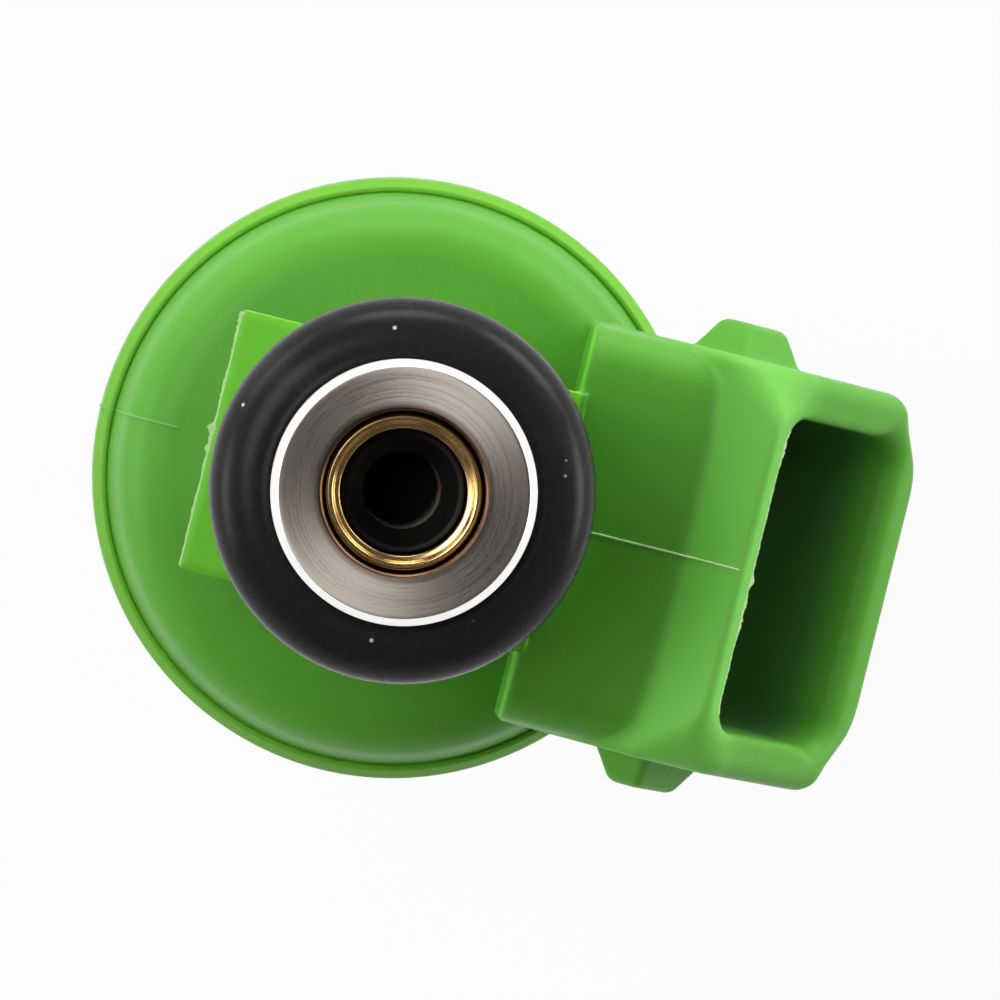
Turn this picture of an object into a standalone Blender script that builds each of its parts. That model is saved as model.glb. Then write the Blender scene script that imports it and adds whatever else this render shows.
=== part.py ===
"""Port fuel injector: a solenoid valve in a moulded plastic body, one object for each piece.

Lengths are in metres. +Z runs up the injector's axis from the spray tip to the fuel inlet,
and +X points from the axis towards the electrical connector.
"""
import math

import bmesh
import bpy
from mathutils import Vector

MM = 0.001

# Clearances between pieces
FIT = 0.10 * MM
SEATED = 0.05 * MM
RUNNING = 0.05 * MM
GROOVE_SLACK = 0.10 * MM
SPRING_SLACK = 0.30 * MM

# Rings that seal in the fuel rail and in the manifold
SEAL_SPACING = 60.65 * MM
TIP_TO_LOWER_SEAL = 11.0 * MM
SEAL_OUTER_RADIUS = 7.30 * MM
SEAL_SECTION = 3.53 * MM
SEAL_STRETCH_GAP = 0.07 * MM

# Inlet tube
FLANGE_RADIUS = 5.0 * MM
FLANGE_THICKNESS = 1.5 * MM
FLANGE_CHAMFER = 0.40 * MM
FILTER_BORE_RADIUS = 3.05 * MM
INLET_MOUTH_CHAMFER = 0.45 * MM
TUBE_BORE_RADIUS = 2.10 * MM

# Inlet filter
RIM_RECESS = 0.80 * MM
RIM_LENGTH = 5.5 * MM
RIM_WALL = 0.50 * MM
RIM_LIP_ROUND = 0.20 * MM
BASKET_RECESS = 2.2 * MM
BASKET_LENGTH = 12.0 * MM
BASKET_WALL = 0.50 * MM
BASKET_FLOOR = 0.80 * MM
BASKET_FOOT_SLACK = 1.0 * MM
BASKET_COLLAR = 4.6 * MM
WINDOW_WIDTH = 1.9 * MM
SCREEN_WALL = 0.25 * MM

# Moulded body
CLIP_DROP = 9.0 * MM
CLIP_THICKNESS = 2.0 * MM
CLIP_REACH = 7.45 * MM
CLIP_WIDTH = 10.3 * MM
CLIP_GROOVE = 4.0 * MM
UPPER_NECK_RADIUS = 5.9 * MM
LOWER_NECK_RADIUS = 4.6 * MM
DOME_HEIGHT = 4.6 * MM
DOME_RADIUS = 11.30 * MM
DOME_FLAT_RADIUS = 7.0 * MM
LIP_GROOVE = 0.20 * MM
LIP_STEP = 0.20 * MM
LIP_ROUND = 0.45 * MM
LIP_HEIGHT = 2.4 * MM
LIP_OVERHANG = 0.25 * MM
BODY_RADIUS = 12.0 * MM
SKIRT_DRAFT = 0.25 * MM
SKIRT_ROUND = 0.40 * MM
CROWN_OVER_HOUSING = 6.0 * MM
SKIRT_OVERLAP = 3.0 * MM

# Connector, tilted up from the horizontal
CONNECTOR_TILT = math.radians(33.9)
CONNECTOR_REACH = 16.85 * MM
MOUTH_BELOW_BLOCK = 3.28 * MM
SHROUD_WIDTH = 16.0 * MM
SHROUD_THICKNESS = 11.4 * MM
SHROUD_LENGTH = 13.0 * MM
LOWER_CORNER_WIDTH = 3.0 * MM
LOWER_CORNER_HEIGHT = 2.3 * MM
UPPER_CORNER = 1.9 * MM
SOCKET_DEPTH = 8.5 * MM
SOCKET_SIDE_WALL = 1.75 * MM
SOCKET_UPPER_WALL = 0.95 * MM
SOCKET_LOWER_WALL = 1.6 * MM
BLOCK_STEP = 0.40 * MM
BLOCK_WALL_REACH = 5.96 * MM
BLOCK_OVERLAP = 0.25 * MM
BLOCK_SIDE_STEP = 0.05 * MM
LUG_BEHIND_MOUTH = 5.7 * MM
LUG_HEIGHT = 1.25 * MM
LUG_LENGTH = 2.6 * MM
LUG_WIDTH = 3.5 * MM
LUG_CREST_LENGTH = 1.0 * MM
LUG_CREST_WIDTH = 2.2 * MM

# Terminal blades
BLADE_PITCH = 5.0 * MM
BLADE_WIDTH = 2.8 * MM
BLADE_THICKNESS = 0.80 * MM
BLADE_RECESS = 3.2 * MM
BLADE_TIP_LENGTH = 0.90 * MM
BLADE_TIP_THICKNESS = 0.30 * MM
BLADE_EDGE_MARGIN = 0.10 * MM

# Solenoid
BOBBIN_LENGTH = 15.8 * MM
BOBBIN_RADIUS = 8.0 * MM
BOBBIN_FLANGE = 1.0 * MM
BOBBIN_HUB_WALL = 0.70 * MM
WINDING_INSET = 0.45 * MM
WASHER_THICKNESS = 1.5 * MM
WASHER_NOTCH_MARGIN = 0.40 * MM
HOUSING_WALL = 2.3 * MM
HOUSING_FLOOR = 2.4 * MM
HOUSING_FOOT_ROUND = 1.2 * MM
HOUSING_FOOT_DROP = 1.2 * MM
HOUSING_NECK_WALL = 1.7 * MM
HOUSING_NECK_LENGTH = 4.5 * MM
NECK_CHAMFER = 0.40 * MM
POLE_HEIGHT = 5.0 * MM
SLEEVE_WALL = 0.60 * MM
SLEEVE_OVER_POLE = 3.4 * MM
SLEEVE_UNDER_POLE = 2.4 * MM

# Moving valve
LIFT = 0.10 * MM
LIFT_SLACK = 0.02 * MM
AIR_GAP = 0.25 * MM
ARMATURE_RADIUS = 3.30 * MM
ARMATURE_LENGTH = 8.0 * MM
ARMATURE_CHAMFER = 0.30 * MM
SPRING_POCKET_DEPTH = 3.0 * MM
SPRING_POCKET_RADIUS = 1.95 * MM
FUEL_PASSAGE_RADIUS = 0.90 * MM
NEEDLE_RADIUS = 1.30 * MM
NEEDLE_BORE_RADIUS = 0.75 * MM
NEEDLE_GRIP = 3.6 * MM
COLLAR_RADIUS = 1.75 * MM
COLLAR_THICKNESS = 0.90 * MM
OUTLET_HOLE = 0.80 * MM
OUTLET_HOLE_ABOVE_FOOT = 2.0 * MM
BALL_RADIUS = 1.70 * MM

# Spring and its adjuster
WIRE_RADIUS = 0.30 * MM
SPRING_MEAN_RADIUS = 1.35 * MM
SPRING_TURNS = 8
POINTS_PER_TURN = 10
LEAST_SPRING_GAP = 0.40 * MM
ADJUSTER_ABOVE_POLE = 9.0 * MM
ADJUSTER_LENGTH = 9.0 * MM
ADJUSTER_WALL = 0.70 * MM
ADJUSTER_SLIT = 0.50 * MM

# Valve body, seat and spray tip
VALVE_BODY_RADIUS = 4.6 * MM
NEEDLE_WAY_RADIUS = 2.0 * MM
SHIM_THICKNESS = 0.90 * MM
SHIM_CLEARANCE = 0.30 * MM
SHIM_HOLE_MARGIN = 0.15 * MM
SEAT_BORE_RADIUS = 3.0 * MM
SEAT_LENGTH = 3.5 * MM
SEAT_OUTLET_RADIUS = 0.70 * MM
SEAT_CONE_SLOPE = math.radians(45)
BALL_BELOW_SEAT_TOP = 0.50 * MM
PLATE_THICKNESS = 0.30 * MM
SPRAY_HOLES = 4
SPRAY_HOLE_RADIUS = 0.15 * MM
SPRAY_CIRCLE_RADIUS = 0.40 * MM
RETAINER_THICKNESS = 0.50 * MM
RETAINER_BORE_RADIUS = 1.6 * MM
TIP_RECESS = 2.9 * MM
TIP_OPENING_RADIUS = 2.2 * MM
CAP_WALL = 0.90 * MM
CAP_FLANGE_RADIUS = 6.2 * MM
CAP_FLANGE_THICKNESS = 1.2 * MM
CAP_CHAMFER = 0.50 * MM
BACKING_THICKNESS = 1.5 * MM
BACKING_RADIUS = 6.3 * MM
BACKING_CHAMFER = 0.25 * MM

# Counts of flats on turned pieces, and how far cutters run past what they cut
FINE = 40
COARSE = 20
RING_SIDES = 12
DOME_STEPS = 5
ROUND_STEPS = 3
HOLE_SIDES = 8
OVERRUN = 1.0 * MM
MERGE_DISTANCE = 0.0001 * MM
SMOOTH_ANGLE = math.radians(35)

# Radii that follow from neighbouring pieces
GROOVE_RADIUS = SEAL_OUTER_RADIUS - SEAL_SECTION - SEAL_STRETCH_GAP
STEM_BORE_RADIUS = GROOVE_RADIUS + FIT
SLEEVE_RADIUS = STEM_BORE_RADIUS + SLEEVE_WALL
BOBBIN_BORE_RADIUS = SLEEVE_RADIUS + FIT
BOBBIN_HUB_RADIUS = BOBBIN_BORE_RADIUS + BOBBIN_HUB_WALL
HOUSING_BORE_RADIUS = BOBBIN_RADIUS + FIT
HOUSING_RADIUS = HOUSING_BORE_RADIUS + HOUSING_WALL
HOUSING_NECK_BORE_RADIUS = VALVE_BODY_RADIUS + FIT
HOUSING_NECK_RADIUS = HOUSING_NECK_BORE_RADIUS + HOUSING_NECK_WALL
RIM_RADIUS = FILTER_BORE_RADIUS - FIT
BASKET_RADIUS = RIM_RADIUS - RIM_WALL - FIT
SCREEN_RADIUS = BASKET_RADIUS - BASKET_WALL - FIT

# Where a blade's leg stands on the bobbin, with its outer corner inside the bobbin's edge
BLADE_OUTER_SIDE = (BLADE_PITCH + BLADE_WIDTH) / 2
BLADE_CORNER_REACH = math.sqrt((BOBBIN_RADIUS - BLADE_EDGE_MARGIN) ** 2 - BLADE_OUTER_SIDE ** 2)
BLADE_LEG_REACH = BLADE_CORNER_REACH - BLADE_THICKNESS / 2

# Heights of the inlet end and the moulded body, counted down from the upper seal
UPPER_SEAL = TIP_TO_LOWER_SEAL + SEAL_SPACING
SEAL_HALF_GROOVE = SEAL_SECTION / 2 + GROOVE_SLACK
FLANGE_FOOT = UPPER_SEAL + SEAL_HALF_GROOVE
INLET_TOP = FLANGE_FOOT + FLANGE_THICKNESS
RIM_TOP = INLET_TOP - RIM_RECESS
BASKET_TOP = RIM_TOP - BASKET_RECESS
BASKET_FOOT = BASKET_TOP - BASKET_LENGTH
FILTER_BORE_FLOOR = BASKET_FOOT - BASKET_FOOT_SLACK
NECK_TOP = UPPER_SEAL - SEAL_HALF_GROOVE
CLIP_TOP = UPPER_SEAL - CLIP_DROP
CLIP_FOOT = CLIP_TOP - CLIP_THICKNESS
BLOCK_TOP = CLIP_TOP - BLOCK_STEP
SHOULDER_TOP = CLIP_FOOT - CLIP_GROOVE
DOME_FOOT = SHOULDER_TOP - DOME_HEIGHT
LIP_FOOT = DOME_FOOT - LIP_HEIGHT
HOUSING_TOP = DOME_FOOT - CROWN_OVER_HOUSING
SKIRT_FOOT = HOUSING_TOP - SKIRT_OVERLAP

# Heights inside the solenoid, counted down from the top of its housing
WASHER_FOOT = HOUSING_TOP - WASHER_THICKNESS
BOBBIN_TOP = WASHER_FOOT - FIT
BOBBIN_FOOT = BOBBIN_TOP - BOBBIN_LENGTH
HOUSING_FLOOR_TOP = BOBBIN_FOOT - FIT
HOUSING_UNDERSIDE = HOUSING_FLOOR_TOP - HOUSING_FLOOR
HOUSING_NECK_FOOT = HOUSING_UNDERSIDE - HOUSING_NECK_LENGTH
POLE_FACE = HOUSING_FLOOR_TOP + POLE_HEIGHT
VALVE_BODY_TOP = POLE_FACE - SLEEVE_UNDER_POLE - FIT
ARMATURE_TOP = POLE_FACE - AIR_GAP
ARMATURE_FOOT = ARMATURE_TOP - ARMATURE_LENGTH
SHIM_TOP = ARMATURE_FOOT - SHIM_CLEARANCE
SHIM_FOOT = SHIM_TOP - SHIM_THICKNESS
CHAMBER_FLOOR = SHIM_FOOT - SEATED
POCKET_FLOOR = ARMATURE_TOP - SPRING_POCKET_DEPTH
ADJUSTER_FOOT = POLE_FACE + ADJUSTER_ABOVE_POLE

# Heights at the spray tip, counted up from the tip's end face
VALVE_BODY_FOOT = TIP_RECESS + FIT
PLATE_FOOT = VALVE_BODY_FOOT + RETAINER_THICKNESS + SEATED
SEAT_FOOT = PLATE_FOOT + PLATE_THICKNESS + SEATED
SEAT_TOP = SEAT_FOOT + SEAT_LENGTH
BALL_CENTRE = SEAT_TOP - BALL_BELOW_SEAT_TOP
NEEDLE_FOOT = BALL_CENTRE + math.sqrt(BALL_RADIUS ** 2 - NEEDLE_BORE_RADIUS ** 2) + SEATED
NEEDLE_TOP = ARMATURE_FOOT + NEEDLE_GRIP
COLLAR_TOP = SHIM_FOOT - LIFT - LIFT_SLACK
CAP_TOP = TIP_TO_LOWER_SEAL - SEAL_HALF_GROOVE
BACKING_FOOT = TIP_TO_LOWER_SEAL + SEAL_HALF_GROOVE
BACKING_TOP = BACKING_FOOT + BACKING_THICKNESS
STEM_SHOULDER = BACKING_TOP + FIT

# Directions and centre of the connector's mouth
OUTWARD = Vector((math.cos(CONNECTOR_TILT), 0.0, math.sin(CONNECTOR_TILT)))
SIDEWAYS = Vector((0.0, 1.0, 0.0))
UPWARD = Vector((-math.sin(CONNECTOR_TILT), 0.0, math.cos(CONNECTOR_TILT)))
MOUTH = Vector((CONNECTOR_REACH, 0.0, BLOCK_TOP - MOUTH_BELOW_BLOCK))
UP = Vector((0.0, 0.0, 1.0))


def clear_scene():
    """Remove every object that the open file holds."""
    for thing in list(bpy.data.objects):
        bpy.data.objects.remove(thing, do_unlink=True)


def finish(name, colour, roughness, metallic=0.0):
    """A Principled material of one colour."""
    material = bpy.data.materials.new(name)
    material.use_nodes = True
    shader = material.node_tree.nodes["Principled BSDF"]
    shader.inputs["Base Color"].default_value = (*colour, 1.0)
    shader.inputs["Roughness"].default_value = roughness
    shader.inputs["Metallic"].default_value = metallic
    material.diffuse_color = (*colour, 1.0)
    return material


def guide(name, location=(0.0, 0.0, 0.0), parent=None):
    """An empty that carries pieces which stay or move together."""
    empty = bpy.data.objects.new(name, None)
    empty.location = location
    empty.parent = parent
    bpy.context.scene.collection.objects.link(empty)
    return empty


def add_object(name, mesh, location, material=None):
    """Turn a bmesh into a smooth-shaded object at a place on the axis."""
    data = bpy.data.meshes.new(name)
    bmesh.ops.recalc_face_normals(mesh, faces=mesh.faces)
    mesh.to_mesh(data)
    mesh.free()
    data.shade_smooth()
    data.set_sharp_from_angle(angle=SMOOTH_ANGLE)
    thing = bpy.data.objects.new(name, data)
    thing.location = location
    if material:
        data.materials.append(material)
    bpy.context.scene.collection.objects.link(thing)
    return thing


def turned(name, outline, material=None, flats=COARSE):
    """Spin an outline of (radius, height) points about the axis, with the origin at its foot.

    An outline whose first and last points lie on the axis stays open there, and any other is closed.
    """
    foot = min(height for _, height in outline)
    ends_on_axis = outline[0][0] == 0.0 and outline[-1][0] == 0.0
    mesh = bmesh.new()
    points = [mesh.verts.new((radius, 0.0, height - foot)) for radius, height in outline]
    first = 1 if ends_on_axis else 0
    edges = [mesh.edges.new((points[i - 1], points[i])) for i in range(first, len(points))]
    bmesh.ops.spin(mesh, geom=points + edges, axis=UP, cent=(0.0, 0.0, 0.0),
                   angle=math.tau, steps=flats, use_merge=True)
    bmesh.ops.remove_doubles(mesh, verts=mesh.verts, dist=MERGE_DISTANCE)
    return add_object(name, mesh, (0.0, 0.0, foot), material)


def prism(name, outline, sweep, material=None):
    """Extrude a flat outline of points along a vector."""
    mesh = bmesh.new()
    face = mesh.faces.new([mesh.verts.new(point) for point in outline])
    moved = bmesh.ops.extrude_face_region(mesh, geom=[face])["geom"]
    corners = [item for item in moved if isinstance(item, bmesh.types.BMVert)]
    bmesh.ops.translate(mesh, verts=corners, vec=sweep)
    return add_object(name, mesh, (0.0, 0.0, 0.0), material)


def hull(name, points):
    """A solid that wraps a few points."""
    mesh = bmesh.new()
    for point in points:
        mesh.verts.new(point)
    bmesh.ops.remove_doubles(mesh, verts=mesh.verts, dist=MERGE_DISTANCE)
    bmesh.ops.convex_hull(mesh, input=mesh.verts)
    return add_object(name, mesh, (0.0, 0.0, 0.0))


def box(name, low, high):
    """A block between two corners."""
    floor = [(low[0], low[1]), (high[0], low[1]), (high[0], high[1]), (low[0], high[1])]
    outline = [Vector((x, y, low[2])) for x, y in floor]
    return prism(name, outline, UP * (high[2] - low[2]))


def combine(target, tool, operation):
    """Join a tool to a piece, or cut it away, and leave the tool out of the build."""
    modifier = target.modifiers.new(tool.name, "BOOLEAN")
    modifier.operation = operation
    modifier.solver = "EXACT"
    modifier.object = tool
    tool.hide_render = True
    tool.display_type = "WIRE"
    tool.parent = target.parent


def arc(centre, radii, start, end, steps):
    """Points of an elliptic arc in the (radius, height) plane, both ends included."""
    angles = [math.radians(start + (end - start) * i / steps) for i in range(steps + 1)]
    return [(centre[0] + radii[0] * math.cos(a), centre[1] + radii[1] * math.sin(a)) for a in angles]


def at_mouth(along, side, across):
    """A point given from the centre of the connector's mouth, along its tilted axes."""
    return MOUTH + OUTWARD * along + SIDEWAYS * side + UPWARD * across


def seal_ring(name, height, material):
    """A round-section ring that sits in a groove of the tube or the valve body."""
    section = SEAL_SECTION / 2
    middle = SEAL_OUTER_RADIUS - section
    full_turn = 360
    outline = arc((middle, height), (section, section), 0, full_turn, RING_SIDES)[:-1]
    return turned(name, outline, material, FINE)


def inlet_tube(material):
    """Flanged steel tube that carries fuel in and ends as the magnet's pole."""
    outline = [
        (FILTER_BORE_RADIUS + INLET_MOUTH_CHAMFER, INLET_TOP),
        (FLANGE_RADIUS - FLANGE_CHAMFER, INLET_TOP),
        (FLANGE_RADIUS, INLET_TOP - FLANGE_CHAMFER),
        (FLANGE_RADIUS, FLANGE_FOOT),
        (GROOVE_RADIUS, FLANGE_FOOT),
        (GROOVE_RADIUS, POLE_FACE),
        (TUBE_BORE_RADIUS, POLE_FACE),
        (TUBE_BORE_RADIUS, FILTER_BORE_FLOOR),
        (FILTER_BORE_RADIUS, FILTER_BORE_FLOOR),
        (FILTER_BORE_RADIUS, INLET_TOP - INLET_MOUTH_CHAMFER),
    ]
    return turned("inlet_tube", outline, material, FINE)


def filter_rim(material):
    """Brass sleeve, rolled at its top edge, that grips the inlet bore."""
    foot = RIM_TOP - RIM_LENGTH
    inner = RIM_RADIUS - RIM_WALL
    outline = [
        (inner, foot),
        (RIM_RADIUS, foot),
        (RIM_RADIUS, RIM_TOP - RIM_LIP_ROUND),
        (RIM_RADIUS - RIM_LIP_ROUND, RIM_TOP),
        (inner + RIM_LIP_ROUND / 2, RIM_TOP),
        (inner, RIM_TOP - RIM_LIP_ROUND),
    ]
    return turned("filter_rim", outline, material, FINE)


def filter_basket(material):
    """Plastic basket with four windows, held in the brass rim."""
    inner = BASKET_RADIUS - BASKET_WALL
    floor = BASKET_FOOT + BASKET_FLOOR
    outline = [
        (0.0, BASKET_FOOT),
        (BASKET_RADIUS, BASKET_FOOT),
        (BASKET_RADIUS, BASKET_TOP),
        (inner, BASKET_TOP),
        (inner, floor),
        (0.0, floor),
    ]
    basket = turned("filter_basket", outline, material)
    low = floor + BASKET_FLOOR
    high = BASKET_TOP - BASKET_COLLAR
    long_side = BASKET_RADIUS + OVERRUN
    short_side = WINDOW_WIDTH / 2
    for axis, half_x, half_y in (("x", long_side, short_side), ("y", short_side, long_side)):
        window = box(f"filter_window_{axis}", (-half_x, -half_y, low), (half_x, half_y, high))
        combine(basket, window, "DIFFERENCE")
    return basket


def filter_screen(material):
    """Fine screen behind the basket's windows, drawn as a thin sleeve."""
    foot = BASKET_FOOT + BASKET_FLOOR + SEATED
    top = BASKET_TOP - BASKET_COLLAR / 2
    inner = SCREEN_RADIUS - SCREEN_WALL
    outline = [(inner, foot), (SCREEN_RADIUS, foot), (SCREEN_RADIUS, top), (inner, top)]
    return turned("filter_screen", outline, material)


def blade_path(margin, foot, tip):
    """Side outline of a terminal blade, grown by a margin, from its foot to the end of its tilted run."""
    half = BLADE_THICKNESS / 2 + margin
    rise = MOUTH.z + OUTWARD.z / OUTWARD.x * (BLADE_LEG_REACH - MOUTH.x)
    bend = half * math.tan((math.pi / 2 - CONNECTOR_TILT) / 2)
    inner_bend = Vector((BLADE_LEG_REACH + half, 0.0, rise - bend))
    outer_bend = Vector((BLADE_LEG_REACH - half, 0.0, rise + bend))
    upper_end = at_mouth(tip, 0.0, half)
    lower_end = at_mouth(tip, 0.0, -half)
    leg_inner = Vector((BLADE_LEG_REACH + half, 0.0, foot))
    leg_outer = Vector((BLADE_LEG_REACH - half, 0.0, foot))
    return [leg_inner, inner_bend, lower_end], [upper_end, outer_bend, leg_outer]


def terminal(name, side, material):
    """Bent contact blade from the coil's bobbin up into the connector's socket."""
    start = Vector((0.0, side - BLADE_WIDTH / 2, 0.0))
    shoulder = -BLADE_RECESS - BLADE_TIP_LENGTH
    lower, upper = blade_path(0.0, BOBBIN_TOP + SEATED, shoulder)
    point = [at_mouth(-BLADE_RECESS, 0.0, end * BLADE_TIP_THICKNESS / 2) for end in (-1, 1)]
    outline = [corner + start for corner in lower + point + upper]
    return prism(name, outline, SIDEWAYS * BLADE_WIDTH, material)


def terminal_slot(name, side):
    """The way that the moulding leaves for a blade."""
    start = Vector((0.0, side - BLADE_WIDTH / 2 - FIT, 0.0))
    lower, upper = blade_path(FIT, HOUSING_TOP - OVERRUN, -SOCKET_DEPTH + OVERRUN)
    outline = [corner + start for corner in lower + upper]
    return prism(name, outline, SIDEWAYS * (BLADE_WIDTH + FIT * 2))


def body_outline():
    """Outer side of the moulding's turned body, from the inside of its skirt to the top of its neck."""
    dome_span = (DOME_RADIUS - DOME_FLAT_RADIUS, DOME_HEIGHT)
    lip_edge = DOME_RADIUS + LIP_STEP
    return [
        (0.0, SKIRT_FOOT),
        (BODY_RADIUS - SKIRT_DRAFT - SKIRT_ROUND, SKIRT_FOOT),
        (BODY_RADIUS - SKIRT_DRAFT, SKIRT_FOOT + SKIRT_ROUND),
        (BODY_RADIUS, LIP_FOOT),
        (lip_edge + LIP_OVERHANG, DOME_FOOT - LIP_ROUND),
        (lip_edge, DOME_FOOT - LIP_GROOVE / 2),
        (DOME_RADIUS, DOME_FOOT - LIP_GROOVE),
        *arc((DOME_FLAT_RADIUS, DOME_FOOT), dome_span, 0, 90, DOME_STEPS),
        (LOWER_NECK_RADIUS, SHOULDER_TOP),
        (LOWER_NECK_RADIUS, CLIP_FOOT + CLIP_THICKNESS / 2),
        (UPPER_NECK_RADIUS, CLIP_FOOT + CLIP_THICKNESS / 2),
        (UPPER_NECK_RADIUS, NECK_TOP),
        (0.0, NECK_TOP),
    ]


def shroud_section(along, upper_cut):
    """Outline of the connector's shroud across its axis, with its corners cut off."""
    side = SHROUD_WIDTH / 2
    half = SHROUD_THICKNESS / 2
    one_side = [
        (side - upper_cut, half),
        (side, half - upper_cut),
        (side, LOWER_CORNER_HEIGHT - half),
        (side - LOWER_CORNER_WIDTH, -half),
    ]
    return [at_mouth(along, hand * out, across) for hand in (1, -1) for out, across in one_side]


def crease():
    """Where, behind the mouth, the shroud's tilted upper face meets the level top of the block."""
    upper_edge = at_mouth(0.0, 0.0, SHROUD_THICKNESS / 2)
    return (BLOCK_TOP - upper_edge.z) / OUTWARD.z


def shroud(name):
    """Tilted tube round the socket, with upper corners pared more and more from crease to mouth."""
    back = shroud_section(-SHROUD_LENGTH, 0.0)
    middle = shroud_section(crease(), 0.0)
    mouth = shroud_section(0.0, UPPER_CORNER)
    return hull(name, back + middle + mouth)


def lug(name, hand):
    """Catch on a side of the shroud that holds the plug's wire clip."""
    root = SHROUD_WIDTH / 2 - LUG_HEIGHT / 2
    crest = SHROUD_WIDTH / 2 + LUG_HEIGHT
    shapes = [(root, LUG_LENGTH / 2, LUG_WIDTH / 2), (crest, LUG_CREST_LENGTH / 2, LUG_CREST_WIDTH / 2)]
    signs = [(-1, -1), (1, -1), (1, 1), (-1, 1)]
    points = [
        at_mouth(-LUG_BEHIND_MOUTH + a * length, hand * out, b * width)
        for out, length, width in shapes
        for a, b in signs
    ]
    return hull(name, points)


def moulded_body(material, rig):
    """Green overmoulding: neck, clip plate, domed shoulder, skirt and connector in one piece."""
    body = turned("overmould_body", body_outline(), material, FINE)
    body.parent = rig
    back = at_mouth(-SHROUD_LENGTH, 0.0, 0.0)
    half_width = SHROUD_WIDTH / 2
    block_side = half_width - BLOCK_SIDE_STEP
    block_end = at_mouth(crease(), 0.0, SHROUD_THICKNESS / 2).x + BLOCK_OVERLAP
    joined = [
        shroud("connector_shroud"),
        box("connector_block", (BLOCK_WALL_REACH, -block_side, back.z),
            (block_end, block_side, BLOCK_TOP)),
        box("clip_plate", (-CLIP_REACH, -CLIP_WIDTH / 2, CLIP_FOOT),
            (BLOCK_WALL_REACH + FIT, CLIP_WIDTH / 2, CLIP_TOP)),
        lug("connector_lug_left", 1),
        lug("connector_lug_right", -1),
    ]
    for tool in joined:
        combine(body, tool, "UNION")

    pocket = HOUSING_RADIUS + FIT
    hollow = [
        (0.0, SKIRT_FOOT - OVERRUN),
        (pocket, SKIRT_FOOT - OVERRUN),
        (pocket, HOUSING_TOP + FIT),
        (STEM_BORE_RADIUS, HOUSING_TOP + FIT),
        (STEM_BORE_RADIUS, NECK_TOP + OVERRUN),
        (0.0, NECK_TOP + OVERRUN),
    ]
    socket_side = half_width - SOCKET_SIDE_WALL
    ceiling = SHROUD_THICKNESS / 2 - SOCKET_UPPER_WALL
    floor = SOCKET_LOWER_WALL - SHROUD_THICKNESS / 2
    corners = [(1, ceiling), (-1, ceiling), (-1, floor), (1, floor)]
    socket = [at_mouth(-SOCKET_DEPTH, hand * socket_side, across) for hand, across in corners]
    removed = [
        terminal_slot("terminal_slot_left", BLADE_PITCH / 2),
        terminal_slot("terminal_slot_right", -BLADE_PITCH / 2),
        prism("connector_socket", socket, OUTWARD * (SOCKET_DEPTH + OVERRUN)),
        turned("body_hollow", hollow, None, FINE),
    ]
    for tool in removed:
        combine(body, tool, "DIFFERENCE")
    return body


def housing_shell(material):
    """Steel cup round the coil, with a narrow neck that holds the valve body."""
    foot_edge = HOUSING_RADIUS - HOUSING_FOOT_ROUND
    corner = (foot_edge, HOUSING_UNDERSIDE + HOUSING_FOOT_DROP + HOUSING_FOOT_ROUND)
    outline = [
        (HOUSING_BORE_RADIUS, HOUSING_TOP),
        (HOUSING_RADIUS, HOUSING_TOP),
        *arc(corner, (HOUSING_FOOT_ROUND, HOUSING_FOOT_ROUND), 0, -90, ROUND_STEPS),
        (HOUSING_NECK_RADIUS, HOUSING_UNDERSIDE),
        (HOUSING_NECK_RADIUS, HOUSING_NECK_FOOT + NECK_CHAMFER),
        (HOUSING_NECK_RADIUS - NECK_CHAMFER, HOUSING_NECK_FOOT),
        (HOUSING_NECK_BORE_RADIUS, HOUSING_NECK_FOOT),
        (HOUSING_NECK_BORE_RADIUS, HOUSING_FLOOR_TOP),
        (HOUSING_BORE_RADIUS, HOUSING_FLOOR_TOP),
    ]
    return turned("housing_shell", outline, material, FINE)


def flux_washer(material):
    """Steel washer that closes the magnet's circuit over the coil, notched for the blades."""
    outer = HOUSING_BORE_RADIUS - FIT
    outline = [
        (STEM_BORE_RADIUS, WASHER_FOOT),
        (outer, WASHER_FOOT),
        (outer, HOUSING_TOP),
        (STEM_BORE_RADIUS, HOUSING_TOP),
    ]
    washer = turned("flux_washer", outline, material)
    near = BLADE_LEG_REACH - BLADE_THICKNESS / 2 - WASHER_NOTCH_MARGIN
    half = BLADE_OUTER_SIDE + WASHER_NOTCH_MARGIN
    low = (near, -half, WASHER_FOOT - OVERRUN)
    notch = box("washer_notch", low, (outer + OVERRUN, half, HOUSING_TOP + OVERRUN))
    combine(washer, notch, "DIFFERENCE")
    return washer


def coil_bobbin(material):
    """Plastic spool that the coil is wound on."""
    low = BOBBIN_FOOT + BOBBIN_FLANGE
    high = BOBBIN_TOP - BOBBIN_FLANGE
    outline = [
        (BOBBIN_BORE_RADIUS, BOBBIN_FOOT),
        (BOBBIN_RADIUS, BOBBIN_FOOT),
        (BOBBIN_RADIUS, low),
        (BOBBIN_HUB_RADIUS, low),
        (BOBBIN_HUB_RADIUS, high),
        (BOBBIN_RADIUS, high),
        (BOBBIN_RADIUS, BOBBIN_TOP),
        (BOBBIN_BORE_RADIUS, BOBBIN_TOP),
    ]
    return turned("coil_bobbin", outline, material)


def coil_winding(material):
    """Copper coil as the one solid that its packed turns fill."""
    low = BOBBIN_FOOT + BOBBIN_FLANGE + FIT
    high = BOBBIN_TOP - BOBBIN_FLANGE - FIT
    inner = BOBBIN_HUB_RADIUS + FIT
    outer = BOBBIN_RADIUS - WINDING_INSET
    outline = [(inner, low), (outer, low), (outer, high), (inner, high)]
    return turned("coil_winding", outline, material)


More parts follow.
